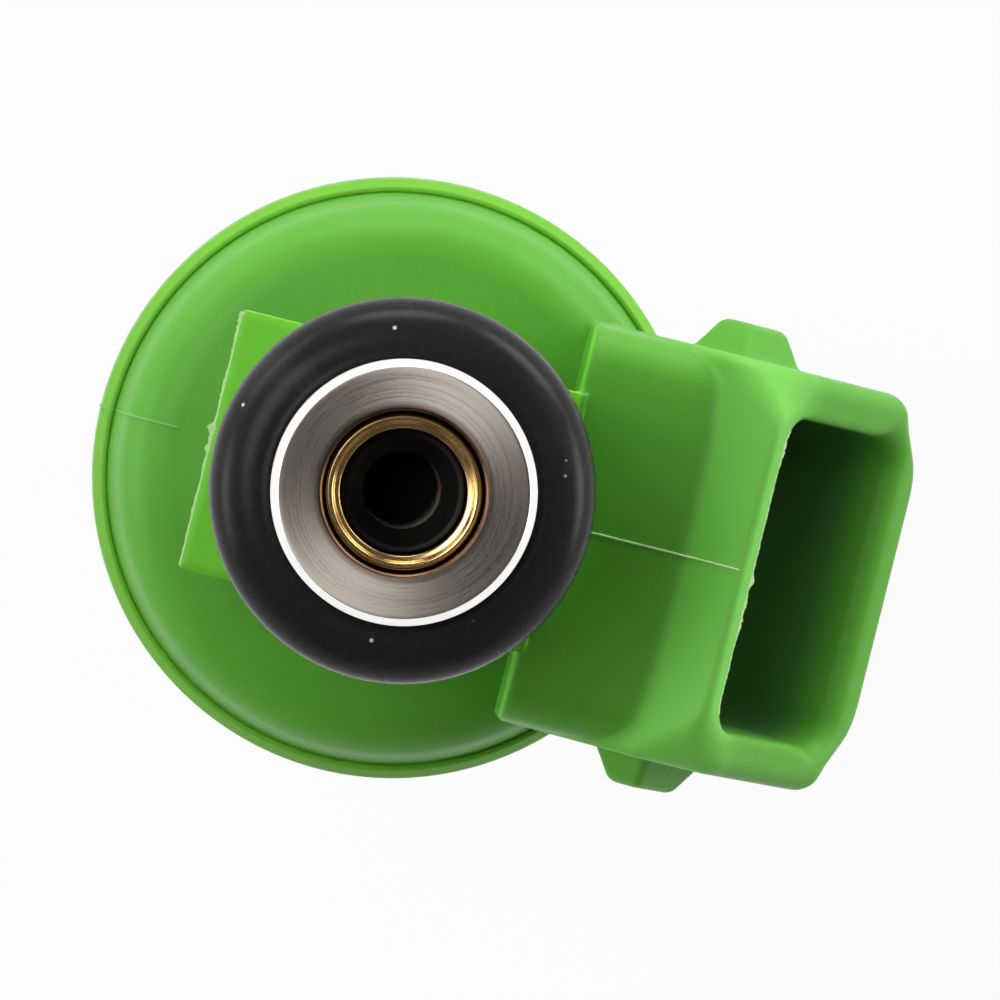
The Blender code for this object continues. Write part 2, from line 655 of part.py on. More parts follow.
def magnetic_break(material):
    """Non-magnetic sleeve that joins the pole to the valve body round the air gap."""
    low = POLE_FACE - SLEEVE_UNDER_POLE
    high = POLE_FACE + SLEEVE_OVER_POLE
    inner = STEM_BORE_RADIUS
    outline = [(inner, low), (SLEEVE_RADIUS, low), (SLEEVE_RADIUS, high), (inner, high)]
    return turned("magnetic_break_sleeve", outline, material)


def valve_body(material):
    """Steel tube that guides the armature and holds the valve seat in its lower end."""
    chamber = ARMATURE_RADIUS + RUNNING
    outline = [
        (chamber, VALVE_BODY_TOP),
        (SLEEVE_RADIUS, VALVE_BODY_TOP),
        (SLEEVE_RADIUS, HOUSING_FLOOR_TOP),
        (VALVE_BODY_RADIUS, HOUSING_FLOOR_TOP),
        (VALVE_BODY_RADIUS, STEM_SHOULDER),
        (GROOVE_RADIUS, STEM_SHOULDER),
        (GROOVE_RADIUS, VALVE_BODY_FOOT),
        (SEAT_BORE_RADIUS, VALVE_BODY_FOOT),
        (SEAT_BORE_RADIUS, SEAT_TOP + SEATED),
        (NEEDLE_WAY_RADIUS, SEAT_TOP + SEATED),
        (NEEDLE_WAY_RADIUS, CHAMBER_FLOOR),
        (chamber, CHAMBER_FLOOR),
    ]
    return turned("valve_body", outline, material, FINE)


def armature(material):
    """Plunger that the coil lifts, with a pocket for the spring and a socket for the needle."""
    socket = NEEDLE_RADIUS + FIT
    socket_top = NEEDLE_TOP + SEATED
    outline = [
        (SPRING_POCKET_RADIUS, ARMATURE_TOP),
        (ARMATURE_RADIUS - ARMATURE_CHAMFER, ARMATURE_TOP),
        (ARMATURE_RADIUS, ARMATURE_TOP - ARMATURE_CHAMFER),
        (ARMATURE_RADIUS, ARMATURE_FOOT + ARMATURE_CHAMFER),
        (ARMATURE_RADIUS - ARMATURE_CHAMFER, ARMATURE_FOOT),
        (socket, ARMATURE_FOOT),
        (socket, socket_top),
        (FUEL_PASSAGE_RADIUS, socket_top),
        (FUEL_PASSAGE_RADIUS, POCKET_FLOOR),
        (SPRING_POCKET_RADIUS, POCKET_FLOOR),
    ]
    return turned("armature", outline, material)


def valve_needle(material):
    """Hollow needle with a stop collar, and a cross hole that lets fuel out above the ball."""
    collar_foot = COLLAR_TOP - COLLAR_THICKNESS
    outline = [
        (NEEDLE_BORE_RADIUS, NEEDLE_FOOT),
        (NEEDLE_RADIUS, NEEDLE_FOOT),
        (NEEDLE_RADIUS, collar_foot),
        (COLLAR_RADIUS, collar_foot),
        (COLLAR_RADIUS, COLLAR_TOP),
        (NEEDLE_RADIUS, COLLAR_TOP),
        (NEEDLE_RADIUS, NEEDLE_TOP),
        (NEEDLE_BORE_RADIUS, NEEDLE_TOP),
    ]
    needle = turned("valve_needle", outline, material)
    low = NEEDLE_FOOT + OUTLET_HOLE_ABOVE_FOOT
    reach = NEEDLE_RADIUS + OVERRUN
    half = OUTLET_HOLE / 2
    hole = box("needle_cross_hole", (-reach, -half, low), (reach, half, low + OUTLET_HOLE))
    combine(needle, hole, "DIFFERENCE")
    return needle


def valve_ball(material):
    """Ball on the needle's end that closes the seat."""
    mesh = bmesh.new()
    bmesh.ops.create_uvsphere(mesh, u_segments=COARSE, v_segments=RING_SIDES, radius=BALL_RADIUS)
    return add_object("valve_ball", mesh, (0.0, 0.0, BALL_CENTRE), material)


def return_spring(material):
    """Coil spring from the armature's pocket to the adjuster, as one unbroken wire."""
    low = POCKET_FLOOR + SPRING_SLACK + WIRE_RADIUS
    high = ADJUSTER_FOOT - SPRING_SLACK - WIRE_RADIUS
    count = SPRING_TURNS * POINTS_PER_TURN
    points = []
    for i in range(count + 1):
        angle = math.tau * i / POINTS_PER_TURN
        height = low + (high - low) * i / count
        across = Vector((math.cos(angle), math.sin(angle), 0.0)) * SPRING_MEAN_RADIUS
        points.append(across + UP * height)
    half_turn = POINTS_PER_TURN // 2
    spans = [(b - a).length for i, a in enumerate(points) for b in points[i + half_turn:]]
    gap = min(spans) - WIRE_RADIUS * 2
    wanted = LEAST_SPRING_GAP / MM
    print(f"return_spring: least gap between turns {gap / MM:.2f} mm, wanted over {wanted:.2f} mm")
    curve = bpy.data.curves.new("return_spring", "CURVE")
    curve.dimensions = "3D"
    curve.bevel_depth = WIRE_RADIUS
    curve.bevel_resolution = 1
    curve.use_fill_caps = True
    wire = curve.splines.new("POLY")
    wire.points.add(len(points) - 1)
    for target, point in zip(wire.points, points):
        target.co = (*(point - UP * low), 1.0)
    curve.materials.append(material)
    spring = bpy.data.objects.new("return_spring", curve)
    spring.location = (0.0, 0.0, low)
    bpy.context.scene.collection.objects.link(spring)
    return spring


def adjusting_sleeve(material):
    """Slit tube pressed into the inlet tube to set the spring's load."""
    outer = TUBE_BORE_RADIUS - FIT
    inner = outer - ADJUSTER_WALL
    top = ADJUSTER_FOOT + ADJUSTER_LENGTH
    outline = [(inner, ADJUSTER_FOOT), (outer, ADJUSTER_FOOT), (outer, top), (inner, top)]
    sleeve = turned("adjusting_sleeve", outline, material)
    half = ADJUSTER_SLIT / 2
    low = (0.0, -half, ADJUSTER_FOOT - OVERRUN)
    slit = box("adjuster_slit", low, (outer + OVERRUN, half, top + OVERRUN))
    combine(sleeve, slit, "DIFFERENCE")
    return sleeve


def lift_stop(material):
    """Open-sided shim under which the needle's collar stops."""
    hole = NEEDLE_RADIUS + SHIM_HOLE_MARGIN
    outer = ARMATURE_RADIUS + RUNNING - FIT
    outline = [(hole, SHIM_FOOT), (outer, SHIM_FOOT), (outer, SHIM_TOP), (hole, SHIM_TOP)]
    shim = turned("lift_stop_shim", outline, material)
    way = box("shim_way", (0.0, -hole, SHIM_FOOT - OVERRUN), (outer + OVERRUN, hole, SHIM_TOP + OVERRUN))
    combine(shim, way, "DIFFERENCE")
    return shim


def valve_seat(material):
    """Steel seat: a guide bore for the ball, a 45 degree cone and the metering outlet."""
    outer = SEAT_BORE_RADIUS - FIT
    guide_radius = BALL_RADIUS + FIT
    rise = math.tan(SEAT_CONE_SLOPE)
    apex = BALL_CENTRE - (BALL_RADIUS + SEATED) / math.cos(SEAT_CONE_SLOPE)
    outline = [
        (SEAT_OUTLET_RADIUS, SEAT_FOOT),
        (outer, SEAT_FOOT),
        (outer, SEAT_TOP),
        (guide_radius, SEAT_TOP),
        (guide_radius, apex + guide_radius * rise),
        (SEAT_OUTLET_RADIUS, apex + SEAT_OUTLET_RADIUS * rise),
    ]
    return turned("valve_seat", outline, material)


def orifice_plate(material):
    """Thin disc whose small holes aim the spray."""
    outer = SEAT_BORE_RADIUS - FIT
    mesh = bmesh.new()
    bmesh.ops.create_circle(mesh, cap_ends=True, segments=COARSE, radius=outer)
    moved = bmesh.ops.extrude_face_region(mesh, geom=list(mesh.faces))["geom"]
    corners = [item for item in moved if isinstance(item, bmesh.types.BMVert)]
    bmesh.ops.translate(mesh, verts=corners, vec=UP * PLATE_THICKNESS)
    plate = add_object("orifice_plate", mesh, (0.0, 0.0, PLATE_FOOT), material)
    for i in range(SPRAY_HOLES):
        angle = math.tau * (i + 0.5) / SPRAY_HOLES
        x = SPRAY_CIRCLE_RADIUS * math.cos(angle)
        y = SPRAY_CIRCLE_RADIUS * math.sin(angle)
        turns = [math.tau * k / HOLE_SIDES for k in range(HOLE_SIDES)]
        ring = [(x + SPRAY_HOLE_RADIUS * math.cos(a), y + SPRAY_HOLE_RADIUS * math.sin(a)) for a in turns]
        outline = [Vector((px, py, PLATE_FOOT - OVERRUN)) for px, py in ring]
        hole = prism(f"spray_hole_{i + 1}", outline, UP * (PLATE_THICKNESS + OVERRUN * 2))
        combine(plate, hole, "DIFFERENCE")
    return plate


def plate_retainer(material):
    """Ring welded into the valve body's end to hold the spray plate up to the seat."""
    outer = SEAT_BORE_RADIUS - FIT
    top = VALVE_BODY_FOOT + RETAINER_THICKNESS
    outline = [
        (RETAINER_BORE_RADIUS, VALVE_BODY_FOOT),
        (outer, VALVE_BODY_FOOT),
        (outer, top),
        (RETAINER_BORE_RADIUS, top),
    ]
    return turned("plate_retainer", outline, material)


def nozzle_cap(material):
    """Plastic cap over the spray end, whose flange keeps the lower seal on."""
    outer = STEM_BORE_RADIUS + CAP_WALL
    flange_foot = CAP_TOP - CAP_FLANGE_THICKNESS
    outline = [
        (TIP_OPENING_RADIUS, 0.0),
        (outer - CAP_CHAMFER, 0.0),
        (outer, CAP_CHAMFER),
        (outer, flange_foot),
        (CAP_FLANGE_RADIUS, flange_foot),
        (CAP_FLANGE_RADIUS, CAP_TOP),
        (STEM_BORE_RADIUS, CAP_TOP),
        (STEM_BORE_RADIUS, TIP_RECESS),
        (TIP_OPENING_RADIUS, TIP_RECESS),
    ]
    return turned("nozzle_cap", outline, material, FINE)


def backing_ring(material):
    """Plastic ring above the lower seal that takes its thrust."""
    outline = [
        (STEM_BORE_RADIUS, BACKING_FOOT),
        (BACKING_RADIUS, BACKING_FOOT),
        (BACKING_RADIUS, BACKING_TOP - BACKING_CHAMFER),
        (BACKING_RADIUS - BACKING_CHAMFER, BACKING_TOP),
        (STEM_BORE_RADIUS, BACKING_TOP),
    ]
    return turned("seal_backing_ring", outline, material, FINE)


def main():
    """Build every piece, the fixed ones under one empty and the moving ones under another."""
    clear_scene()
    green = finish("green_nylon", (0.13, 0.36, 0.055), 0.34)
    rubber = finish("black_rubber", (0.016, 0.016, 0.017), 0.55)
    turned_steel = finish("turned_steel", (0.46, 0.44, 0.42), 0.32, 1.0)
    brass = finish("brass", (0.62, 0.48, 0.24), 0.25, 1.0)
    black_nylon = finish("black_nylon", (0.02, 0.02, 0.021), 0.45)
    screen_nylon = finish("screen_nylon", (0.62, 0.58, 0.48), 0.6)
    zinc = finish("zinc_plated_steel", (0.56, 0.56, 0.54), 0.36, 1.0)
    copper = finish("enamelled_copper", (0.50, 0.19, 0.08), 0.35, 1.0)
    stainless = finish("stainless_steel", (0.58, 0.57, 0.55), 0.24, 1.0)
    ground_steel = finish("ground_steel", (0.66, 0.66, 0.66), 0.12, 1.0)
    spring_steel = finish("spring_steel", (0.36, 0.35, 0.34), 0.3, 1.0)
    tinned = finish("tinned_bronze", (0.68, 0.60, 0.46), 0.28, 1.0)

    rig = guide("injector")
    moving = guide("needle_slide", (0.0, 0.0, BALL_CENTRE), rig)
    moulded_body(green, rig)
    fixed = [
        seal_ring("upper_o_ring", UPPER_SEAL, rubber),
        seal_ring("lower_o_ring", TIP_TO_LOWER_SEAL, rubber),
        inlet_tube(turned_steel),
        filter_rim(brass),
        filter_basket(black_nylon),
        filter_screen(screen_nylon),
        adjusting_sleeve(stainless),
        return_spring(spring_steel),
        coil_bobbin(black_nylon),
        coil_winding(copper),
        housing_shell(zinc),
        flux_washer(zinc),
        magnetic_break(stainless),
        valve_body(stainless),
        lift_stop(ground_steel),
        valve_seat(ground_steel),
        orifice_plate(stainless),
        plate_retainer(stainless),
        nozzle_cap(black_nylon),
        backing_ring(black_nylon),
        terminal("terminal_left", BLADE_PITCH / 2, tinned),
        terminal("terminal_right", -BLADE_PITCH / 2, tinned),
    ]
    for piece in fixed:
        piece.parent = rig
    for piece in (armature(turned_steel), valve_needle(stainless), valve_ball(ground_steel)):
        piece.parent = moving
        piece.location = piece.location - moving.location


main()
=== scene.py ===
"""Looks of a port fuel injector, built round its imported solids.

Sizes in the sub-assemblies are in millimetres, and lengths in the finishes in metres. Meshes are written
in metres, in the solids' own frame: +Z runs up the injector's axis to the fuel inlet, +X points to the
connector.
"""
import logging
import math
from collections.abc import Callable, Sequence
from dataclasses import dataclass
from enum import Enum
from typing import ClassVar

import bmesh
import bpy
import numpy as np
from mathutils import Matrix, Vector


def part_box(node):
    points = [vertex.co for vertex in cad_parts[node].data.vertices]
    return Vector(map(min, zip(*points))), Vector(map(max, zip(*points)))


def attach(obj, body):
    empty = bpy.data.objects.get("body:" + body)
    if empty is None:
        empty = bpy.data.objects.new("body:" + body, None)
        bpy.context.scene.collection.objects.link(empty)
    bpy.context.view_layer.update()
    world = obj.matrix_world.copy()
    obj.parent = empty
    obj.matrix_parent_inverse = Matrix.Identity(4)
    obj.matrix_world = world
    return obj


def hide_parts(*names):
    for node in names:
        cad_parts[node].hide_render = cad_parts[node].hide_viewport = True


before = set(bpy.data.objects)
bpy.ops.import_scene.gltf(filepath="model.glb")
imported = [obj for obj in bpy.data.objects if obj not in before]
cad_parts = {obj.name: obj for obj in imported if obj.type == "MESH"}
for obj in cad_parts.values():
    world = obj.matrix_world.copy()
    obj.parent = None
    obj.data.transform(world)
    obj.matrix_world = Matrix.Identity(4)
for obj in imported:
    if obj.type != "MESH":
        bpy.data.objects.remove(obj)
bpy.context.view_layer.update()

MM = 0.001
PICTURE_WIDTH = 1000
FOCAL_PIXELS = 9615.0
SMOOTH_ANGLE = math.radians(50)
FLAT_ANGLE = math.radians(1)
OWN_NORMALS = "custom_normal"
WELD = 0.001 * MM

# An outline has a point this close to each end of a round, where the flat beside it has room, in millimetres.
SUPPORT = 0.12
SUPPORT_GAP = 0.06
SAME_POINT = 0.0001

# Most of a soft noise lies between these two values.
NOISE_RANGE = (0.3, 0.7)
WHITE = (1.0, 1.0, 1.0, 1.0)

# The connector's tilt and the middle of its mouth, in millimetres, for its shape and for the painted light
# and shade laid out from it.
CONNECTOR_TILT = math.radians(33.9)
MOUTH_X = 16.85
MOUTH_Z = 58.97
CELL_CORNERS = [(i, j, k) for i in (0, 1) for j in (0, 1) for k in (0, 1)]

Pair = tuple[float, float]
Place = tuple[float, float, float]
Colour = tuple[float, float, float]
Corner = tuple[float, float, float]
Box = tuple[Pair, Pair, Pair]
Outline = list[Pair]
Distances = tuple[np.ndarray, np.ndarray]
Field = Callable[[np.ndarray, np.ndarray, np.ndarray], np.ndarray]
Output = bpy.types.NodeSocket

log = logging.getLogger("injector")


class Body(Enum):
    """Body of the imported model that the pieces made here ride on."""

    FIXED = "injector_body"


class Slot(Enum):
    """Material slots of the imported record."""

    GREEN_NYLON = "green_nylon"
    BLACK_RUBBER = "black_rubber"
    TURNED_STEEL = "turned_steel"
    BRASS = "brass"
    BLACK_NYLON = "black_nylon"
    SCREEN_NYLON = "screen_nylon"
    ZINC = "zinc_plated_steel"
    COPPER = "enamelled_copper"
    STAINLESS = "stainless_steel"
    GROUND_STEEL = "ground_steel"
    SPRING_STEEL = "spring_steel"
    TINNED = "tinned_bronze"


class Marks(Enum):
    """How a surface was made, which says how its fine marks run."""

    MOULDED = "moulded"
    TURNED = "turned"
    DRAWN = "drawn"
    WOUND = "wound"
    WOVEN = "woven"


class Cut(Enum):
    """What a Boolean does with its tool."""

    JOIN = "UNION"
    REMOVE = "DIFFERENCE"


class Strip(Enum):
    """Strips of mould flash, each with the number that sets its unevenness apart."""

    MOUTH_FLASH = 1
    PLATE_FLASH = 2
    CONNECTOR_TOP_RIDGE = 3
    CONNECTOR_UNDER_RIDGE = 4
    SHOULDER_RIDGE = 6


class ShaderBench:
    """Adds and joins the nodes of one shader."""

    def __init__(self, tree: bpy.types.NodeTree) -> None:
        """Work on one node tree."""
        self.tree = tree

    def add(self, kind: str, settings: dict | None = None, **sockets: object) -> bpy.types.Node:
        """Add a node, set its properties, and fill its sockets.

        Args:
            kind: Blender's type name of the node.
            settings: properties of the node itself.
            sockets: socket names with underscores for spaces, each with a constant or an output to join.

        Returns:
            The new node.
        """
        node = self.tree.nodes.new(kind)
        for name, value in (settings or {}).items():
            setattr(node, name, value)
        for name, value in sockets.items():
            self.fill(self.socket(node, name.replace("_", " ")), value)
        return node

    def fill(self, socket: bpy.types.NodeSocket, value: object) -> None:
        """Join an output to a socket, or set the socket to a constant.

        Args:
            socket: the input to fill.
            value: an output of another node, or a constant.
        """
        if isinstance(value, Output):
            self.tree.links.new(value, socket)
        else:
            socket.default_value = value

    def join(self, output: Output, node: bpy.types.Node, name: str) -> None:
        """Join an output to a named input of a node."""
        self.tree.links.new(output, node.inputs[name])

    @staticmethod
    def socket(node: bpy.types.Node, name: str) -> bpy.types.NodeSocket:
        """Find an input of a node.

        Args:
            node: the node.
            name: the input's name, or its place, such as "in 1".

        Returns:
            The enabled input of that name, or the one at that place.
        """
        if name.startswith("in "):
            return node.inputs[int(name.removeprefix("in "))]
        return next(s for s in node.inputs if s.name == name and s.enabled)

    def place(self) -> Output:
        """The point on the piece, in metres."""
        return self.add("ShaderNodeTexCoord").outputs["Object"]

    def noise(self, where: Output, scale: float, detail: float = 2.0) -> Output:
        """Soft noise of a scale, per metre, about 0.5."""
        return self.add("ShaderNodeTexNoise", Vector=where, Scale=scale, Detail=detail).outputs["Fac"]

    def spread(self, value: Output, low: Pair, high: Pair) -> Output:
        """Map a value's range (low[0] to high[0]) to another (low[1] to high[1]), clamped."""
        node = self.add("ShaderNodeMapRange", None, Value=value, From_Min=low[0], From_Max=high[0],
                        To_Min=low[1], To_Max=high[1])
        return node.outputs["Result"]

    def rise(self, value: Output, start: float, end: float, most: float = 1.0) -> Output:
        """Nothing before a start, and the most past an end."""
        return self.spread(value, (start, 0.0), (end, most))

    def fall(self, value: Output, start: float, end: float) -> Output:
        """One before a start, and nothing past an end."""
        return self.spread(value, (start, 1.0), (end, 0.0))

    def blend(self, factor: Output, first: object, second: object) -> Output:
        """Mix two colours.

        Args:
            factor: share of the second colour.
            first: a plain colour or an output.
            second: a plain colour or an output.

        Returns:
            The mixed colour.
        """
        node = self.add("ShaderNodeMix", {"data_type": "RGBA"}, Factor=factor)
        for name, value in (("A", first), ("B", second)):
            socket = next(s for s in node.inputs if s.name == name and s.type == "RGBA")
            self.fill(socket, (*value, 1.0) if isinstance(value, tuple) else value)
        return next(s for s in node.outputs if s.type == "RGBA")

    def sum(self, *values: object) -> Output:
        """Add several values.

        Args:
            values: an output, and then outputs or constants.

        Returns:
            Their total.
        """
        total = values[0]
        for value in values[1:]:
            total = self.add("ShaderNodeMath", {"operation": "ADD"}, in_0=total, in_1=value).outputs[0]
        return total

    def times(self, value: Output, factor: object) -> Output:
        """Multiply a value."""
        return self.add("ShaderNodeMath", {"operation": "MULTIPLY"}, in_0=value, in_1=factor).outputs[0]

    def along(self, place: Output, axis: Sequence[float]) -> Output:
        """How far a place lies along an axis."""
        node = self.add("ShaderNodeVectorMath", {"operation": "DOT_PRODUCT"}, in_0=place, in_1=axis)
        return node.outputs["Value"]

    def lathe_place(self, wander: float = 0.015) -> Output:
        """Place on a turned piece, so that marks run round the axis and slowly fade in and out.

        Args:
            wander: how fast the marks change round the axis, against their change in radius.

        Returns:
            Radius, height and a slow drift.
        """
        parts = self.add("ShaderNodeSeparateXYZ", None, Vector=self.place()).outputs
        flat = self.add("ShaderNodeCombineXYZ", None, X=parts["X"], Y=parts["Y"]).outputs[0]
        radius = self.add("ShaderNodeVectorMath", {"operation": "LENGTH"}, in_0=flat).outputs["Value"]
        drift = self.times(self.sum(parts["X"], parts["Y"]), wander)
        return self.add("ShaderNodeCombineXYZ", None, X=radius, Y=parts["Z"], Z=drift).outputs[0]


@dataclass(frozen=True)
class Finish:
    """A surface finish with the marks its making leaves."""

    slot: Slot
    colour: Colour
    shade: Colour
    roughness: Pair
    marks: Marks
    metallic: float = 0.0
    mottle_scale: float = 140.0
    mottle_detail: float = 3.0
    grain_scale: float = 5200.0
    grain_detail: float = 4.0
    grain_depth: float = 0.000006
    anisotropy: float = 0.0
    specular: float = 0.5

    def material(self) -> bpy.types.Material:
        """Make the finish's material.

        Returns:
            A material whose colour, roughness and bump come from procedural nodes.
        """
        made = bpy.data.materials.new(f"{self.slot.value}_finish")
        made.use_nodes = True
        made.diffuse_color = (*self.colour, 1.0)
        bench = ShaderBench(made.node_tree)
        shader = made.node_tree.nodes["Principled BSDF"]
        shader.inputs["Metallic"].default_value = self.metallic
        shader.inputs["Specular IOR Level"].default_value = self.specular
        shader.inputs["Anisotropic"].default_value = self.anisotropy
        if self.anisotropy:
            tangent = bench.add("ShaderNodeTangent", {"direction_type": "RADIAL", "axis": "Z"})
            bench.join(tangent.outputs[0], shader, "Tangent")
        where = bench.place()
        mottle = bench.noise(where, self.mottle_scale, self.mottle_detail)
        marks_at = bench.lathe_place() if self.marks is Marks.TURNED else where
        grain = bench.noise(marks_at, self.grain_scale, self.grain_detail)
        colour = bench.blend(bench.rise(mottle, *NOISE_RANGE), self.colour, self.shade)
        (low, high), (smooth, rough) = NOISE_RANGE, self.roughness
        roughness = bench.spread(grain, (low, smooth), (high, rough))
        height = self.relief(bench, where, grain)
        bump = bench.add("ShaderNodeBump", None, Height=height, Distance=self.grain_depth, Strength=1.0)
        bench.join(self.detail(bench, where, colour), shader, "Base Color")
        bench.join(roughness, shader, "Roughness")
        bench.join(bump.outputs[0], shader, "Normal")
        return made

    def detail(self, bench: ShaderBench, where: Output, colour: Output) -> Output:
        """Colour marks of this finish alone; a plain finish has none."""
        return colour

    def relief(self, bench: ShaderBench, where: Output, grain: Output) -> Output:
        """Height of the surface's fine relief."""
        return grain


@dataclass(frozen=True)
class Nylon(Finish):
    """Moulded nylon with glass flecks, slow flow marks and a fine skin."""

    fleck: Colour = (0.2, 0.5, 0.1)
    fleck_scale: float = 7500.0
    fleck_range: Pair = (0.60, 0.80)
    fleck_share: float = 0.3
    flow_scale: float = 160.0
    flow_height: float = 5.0
    soft_detail: float = 1.0

    def detail(self, bench: ShaderBench, where: Output, colour: Output) -> Output:
        """Scatter pale glass flecks."""
        fleck = bench.noise(where, self.fleck_scale, self.soft_detail)
        return bench.blend(bench.rise(fleck, *self.fleck_range, self.fleck_share), colour, self.fleck)

    def relief(self, bench: ShaderBench, where: Output, grain: Output) -> Output:
        """A fine skin over slow waves left by the mould's flow."""
        waves = bench.noise(where, self.flow_scale, self.soft_detail)
        return bench.sum(grain, bench.times(waves, self.flow_height))


@dataclass(frozen=True)
class NylonWithPaintedLight(Nylon):
    """Green nylon with painted light, a paler green, on its thin lip, clip plate and upper wall, and painted
    shade deep in the socket.
    """

    # Painted light: a paler green on the lip's thin ring, standing in for light through thin nylon.
    lip_painted_light: Colour = (0.15, 0.45, 0.03)
    lip_ring: Pair = (11.46 * MM, 12.02 * MM)
    lip_band: Pair = (50.4 * MM, 52.2 * MM)
    # Painted light: a paler green on the clip plate.
    plate_painted_light: Colour = (0.18, 0.60, 0.042)
    plate_end: float = 6.0 * MM
    plate_band: Pair = (60.5 * MM, 62.8 * MM)
    fade: float = 0.1 * MM
    lip_fade: float = 0.8 * MM
    # Painted shade: a darker, duller green deep in the socket, where little light reaches.
    socket_painted_shade: Colour = (0.085, 0.22, 0.065)
    socket_shade_box: Box = ((-8.7 * MM, -2.4 * MM), (-6.35 * MM, 6.35 * MM), (-4.25 * MM, 4.85 * MM))
    socket_shade_fades: Box = ((0.1 * MM, 1.4 * MM), (0.1 * MM, 0.1 * MM), (0.1 * MM, 0.1 * MM))
    # Painted light: a paler green on the connector's thin upper wall, fading in towards the mouth.
    wall_painted_light: Colour = (0.185, 0.59, 0.085)
    wall_box: Box = ((0.0, 0.3 * MM), (-8.3 * MM, 8.3 * MM), (5.2 * MM, 5.74 * MM))
    wall_fades: Box = ((7.0 * MM, 0.1 * MM), (0.1 * MM, 0.1 * MM), (2.6 * MM, 0.1 * MM))

    @staticmethod
    def band(bench: ShaderBench, value: Output, ends: Pair, fades: Pair) -> Output:
        """Mark the stretch between two ends of a distance.

        Args:
            bench: the node tree to add to.
            value: a distance on the surface.
            ends: where the stretch starts and stops.
            fades: how far it fades before its start and past its end.

        Returns:
            One on the stretch, and nothing well away from it.
        """
        over = bench.rise(value, ends[0] - fades[0], ends[0])
        under = bench.fall(value, ends[1], ends[1] + fades[1])
        return bench.times(over, under)

    def in_box(self, bench: ShaderBench, where: Output, box: Box, fades: Box) -> Output:
        """Mark a box that is laid out from the connector's mouth.

        Args:
            bench: the node tree to add to.
            where: the point on the surface.
            box: ends of the box along the connector, to its sides and across its height.
            fades: how far it fades beyond each of those ends.

        Returns:
            One inside the box, and nothing well outside it.
        """
        cos, sin = math.cos(CONNECTOR_TILT), math.sin(CONNECTOR_TILT)
        axes = ((cos, 0.0, sin), (0.0, 1.0, 0.0), (-sin, 0.0, cos))
        middle = (MOUTH_X * MM, 0.0, MOUTH_Z * MM)
        run = bench.add("ShaderNodeVectorMath", {"operation": "SUBTRACT"}, in_0=where, in_1=middle).outputs[0]
        out, side, up = (self.band(bench, bench.along(run, axis), ends, fade)
                         for axis, ends, fade in zip(axes, box, fades))
        return bench.times(bench.times(out, side), up)

    def detail(self, bench: ShaderBench, where: Output, colour: Output) -> Output:
        """Paint light on the lip, the plate and the upper wall, and paint shade deep in the socket.

        Args:
            bench: the node tree to add to.
            where: the point on the surface.
            colour: colour of the plain nylon.

        Returns:
            The colour with the painted light and painted shade on it.
        """
        even = (self.fade, self.fade)
        ring = bench.add("ShaderNodeSeparateXYZ", None, Vector=bench.lathe_place()).outputs
        lip = bench.times(self.band(bench, ring["X"], self.lip_ring, even),
                          self.band(bench, ring["Y"], self.lip_band, (self.lip_fade, self.fade)))
        across = bench.add("ShaderNodeSeparateXYZ", None, Vector=where).outputs["X"]
        plate = bench.times(bench.fall(across, self.plate_end, self.plate_end + self.fade),
                            self.band(bench, ring["Y"], self.plate_band, even))
        deep = self.in_box(bench, where, self.socket_shade_box, self.socket_shade_fades)
        wall = self.in_box(bench, where, self.wall_box, self.wall_fades)
        # Painted light on the lip, plate and upper wall, and painted shade deep in the socket.
        tints = ((lip, self.lip_painted_light), (plate, self.plate_painted_light), (deep, self.socket_painted_shade), (wall, self.wall_painted_light))
        tinted = super().detail(bench, where, colour)
        for share, tint in tints:
            tinted = bench.blend(share, tinted, tint)
        return tinted


@dataclass(frozen=True)
class Rubber(Finish):
    """Moulded seal rubber with dust specks and faint scuffs."""

    dust: Colour = (0.62, 0.60, 0.58)
    dust_scale: float = 900.0
    dust_share: float = 0.55
    dust_edge: float = 0.01
    speck_reach: Pair = (0.05, 0.085)
    scuff: Colour = (0.04, 0.037, 0.04)
    scuff_scale: float = 420.0
    scuff_detail: float = 5.0
    scuff_stretch: Place = (0.25, 1.6, 0.6)
    scuff_range: Pair = (0.56, 0.80)
    scuff_share: float = 0.7

    def detail(self, bench: ShaderBench, where: Output, colour: Output) -> Output:
        """Sprinkle dust and rub pale scuffs into the rubber.

        Args:
            bench: the node tree to add to.
            where: the point on the surface.
            colour: colour of the clean rubber.

        Returns:
            The colour with scuffs and dust on it.
        """
        stretch = bench.add("ShaderNodeMapping", None, Vector=where, Scale=self.scuff_stretch).outputs[0]
        scuffs = bench.noise(stretch, self.scuff_scale, self.scuff_detail)
        scuffed = bench.blend(bench.rise(scuffs, *self.scuff_range, self.scuff_share), colour, self.scuff)
        cells = bench.add("ShaderNodeTexVoronoi", None, Vector=where, Scale=self.dust_scale).outputs
        speck = bench.fall(cells["Distance"], *self.speck_reach)
        lot = bench.add("ShaderNodeSeparateColor", None, Color=cells["Color"]).outputs[0]
        chosen = bench.fall(lot, self.dust_share, self.dust_share + self.dust_edge)
        return bench.blend(bench.times(speck, chosen), scuffed, self.dust)


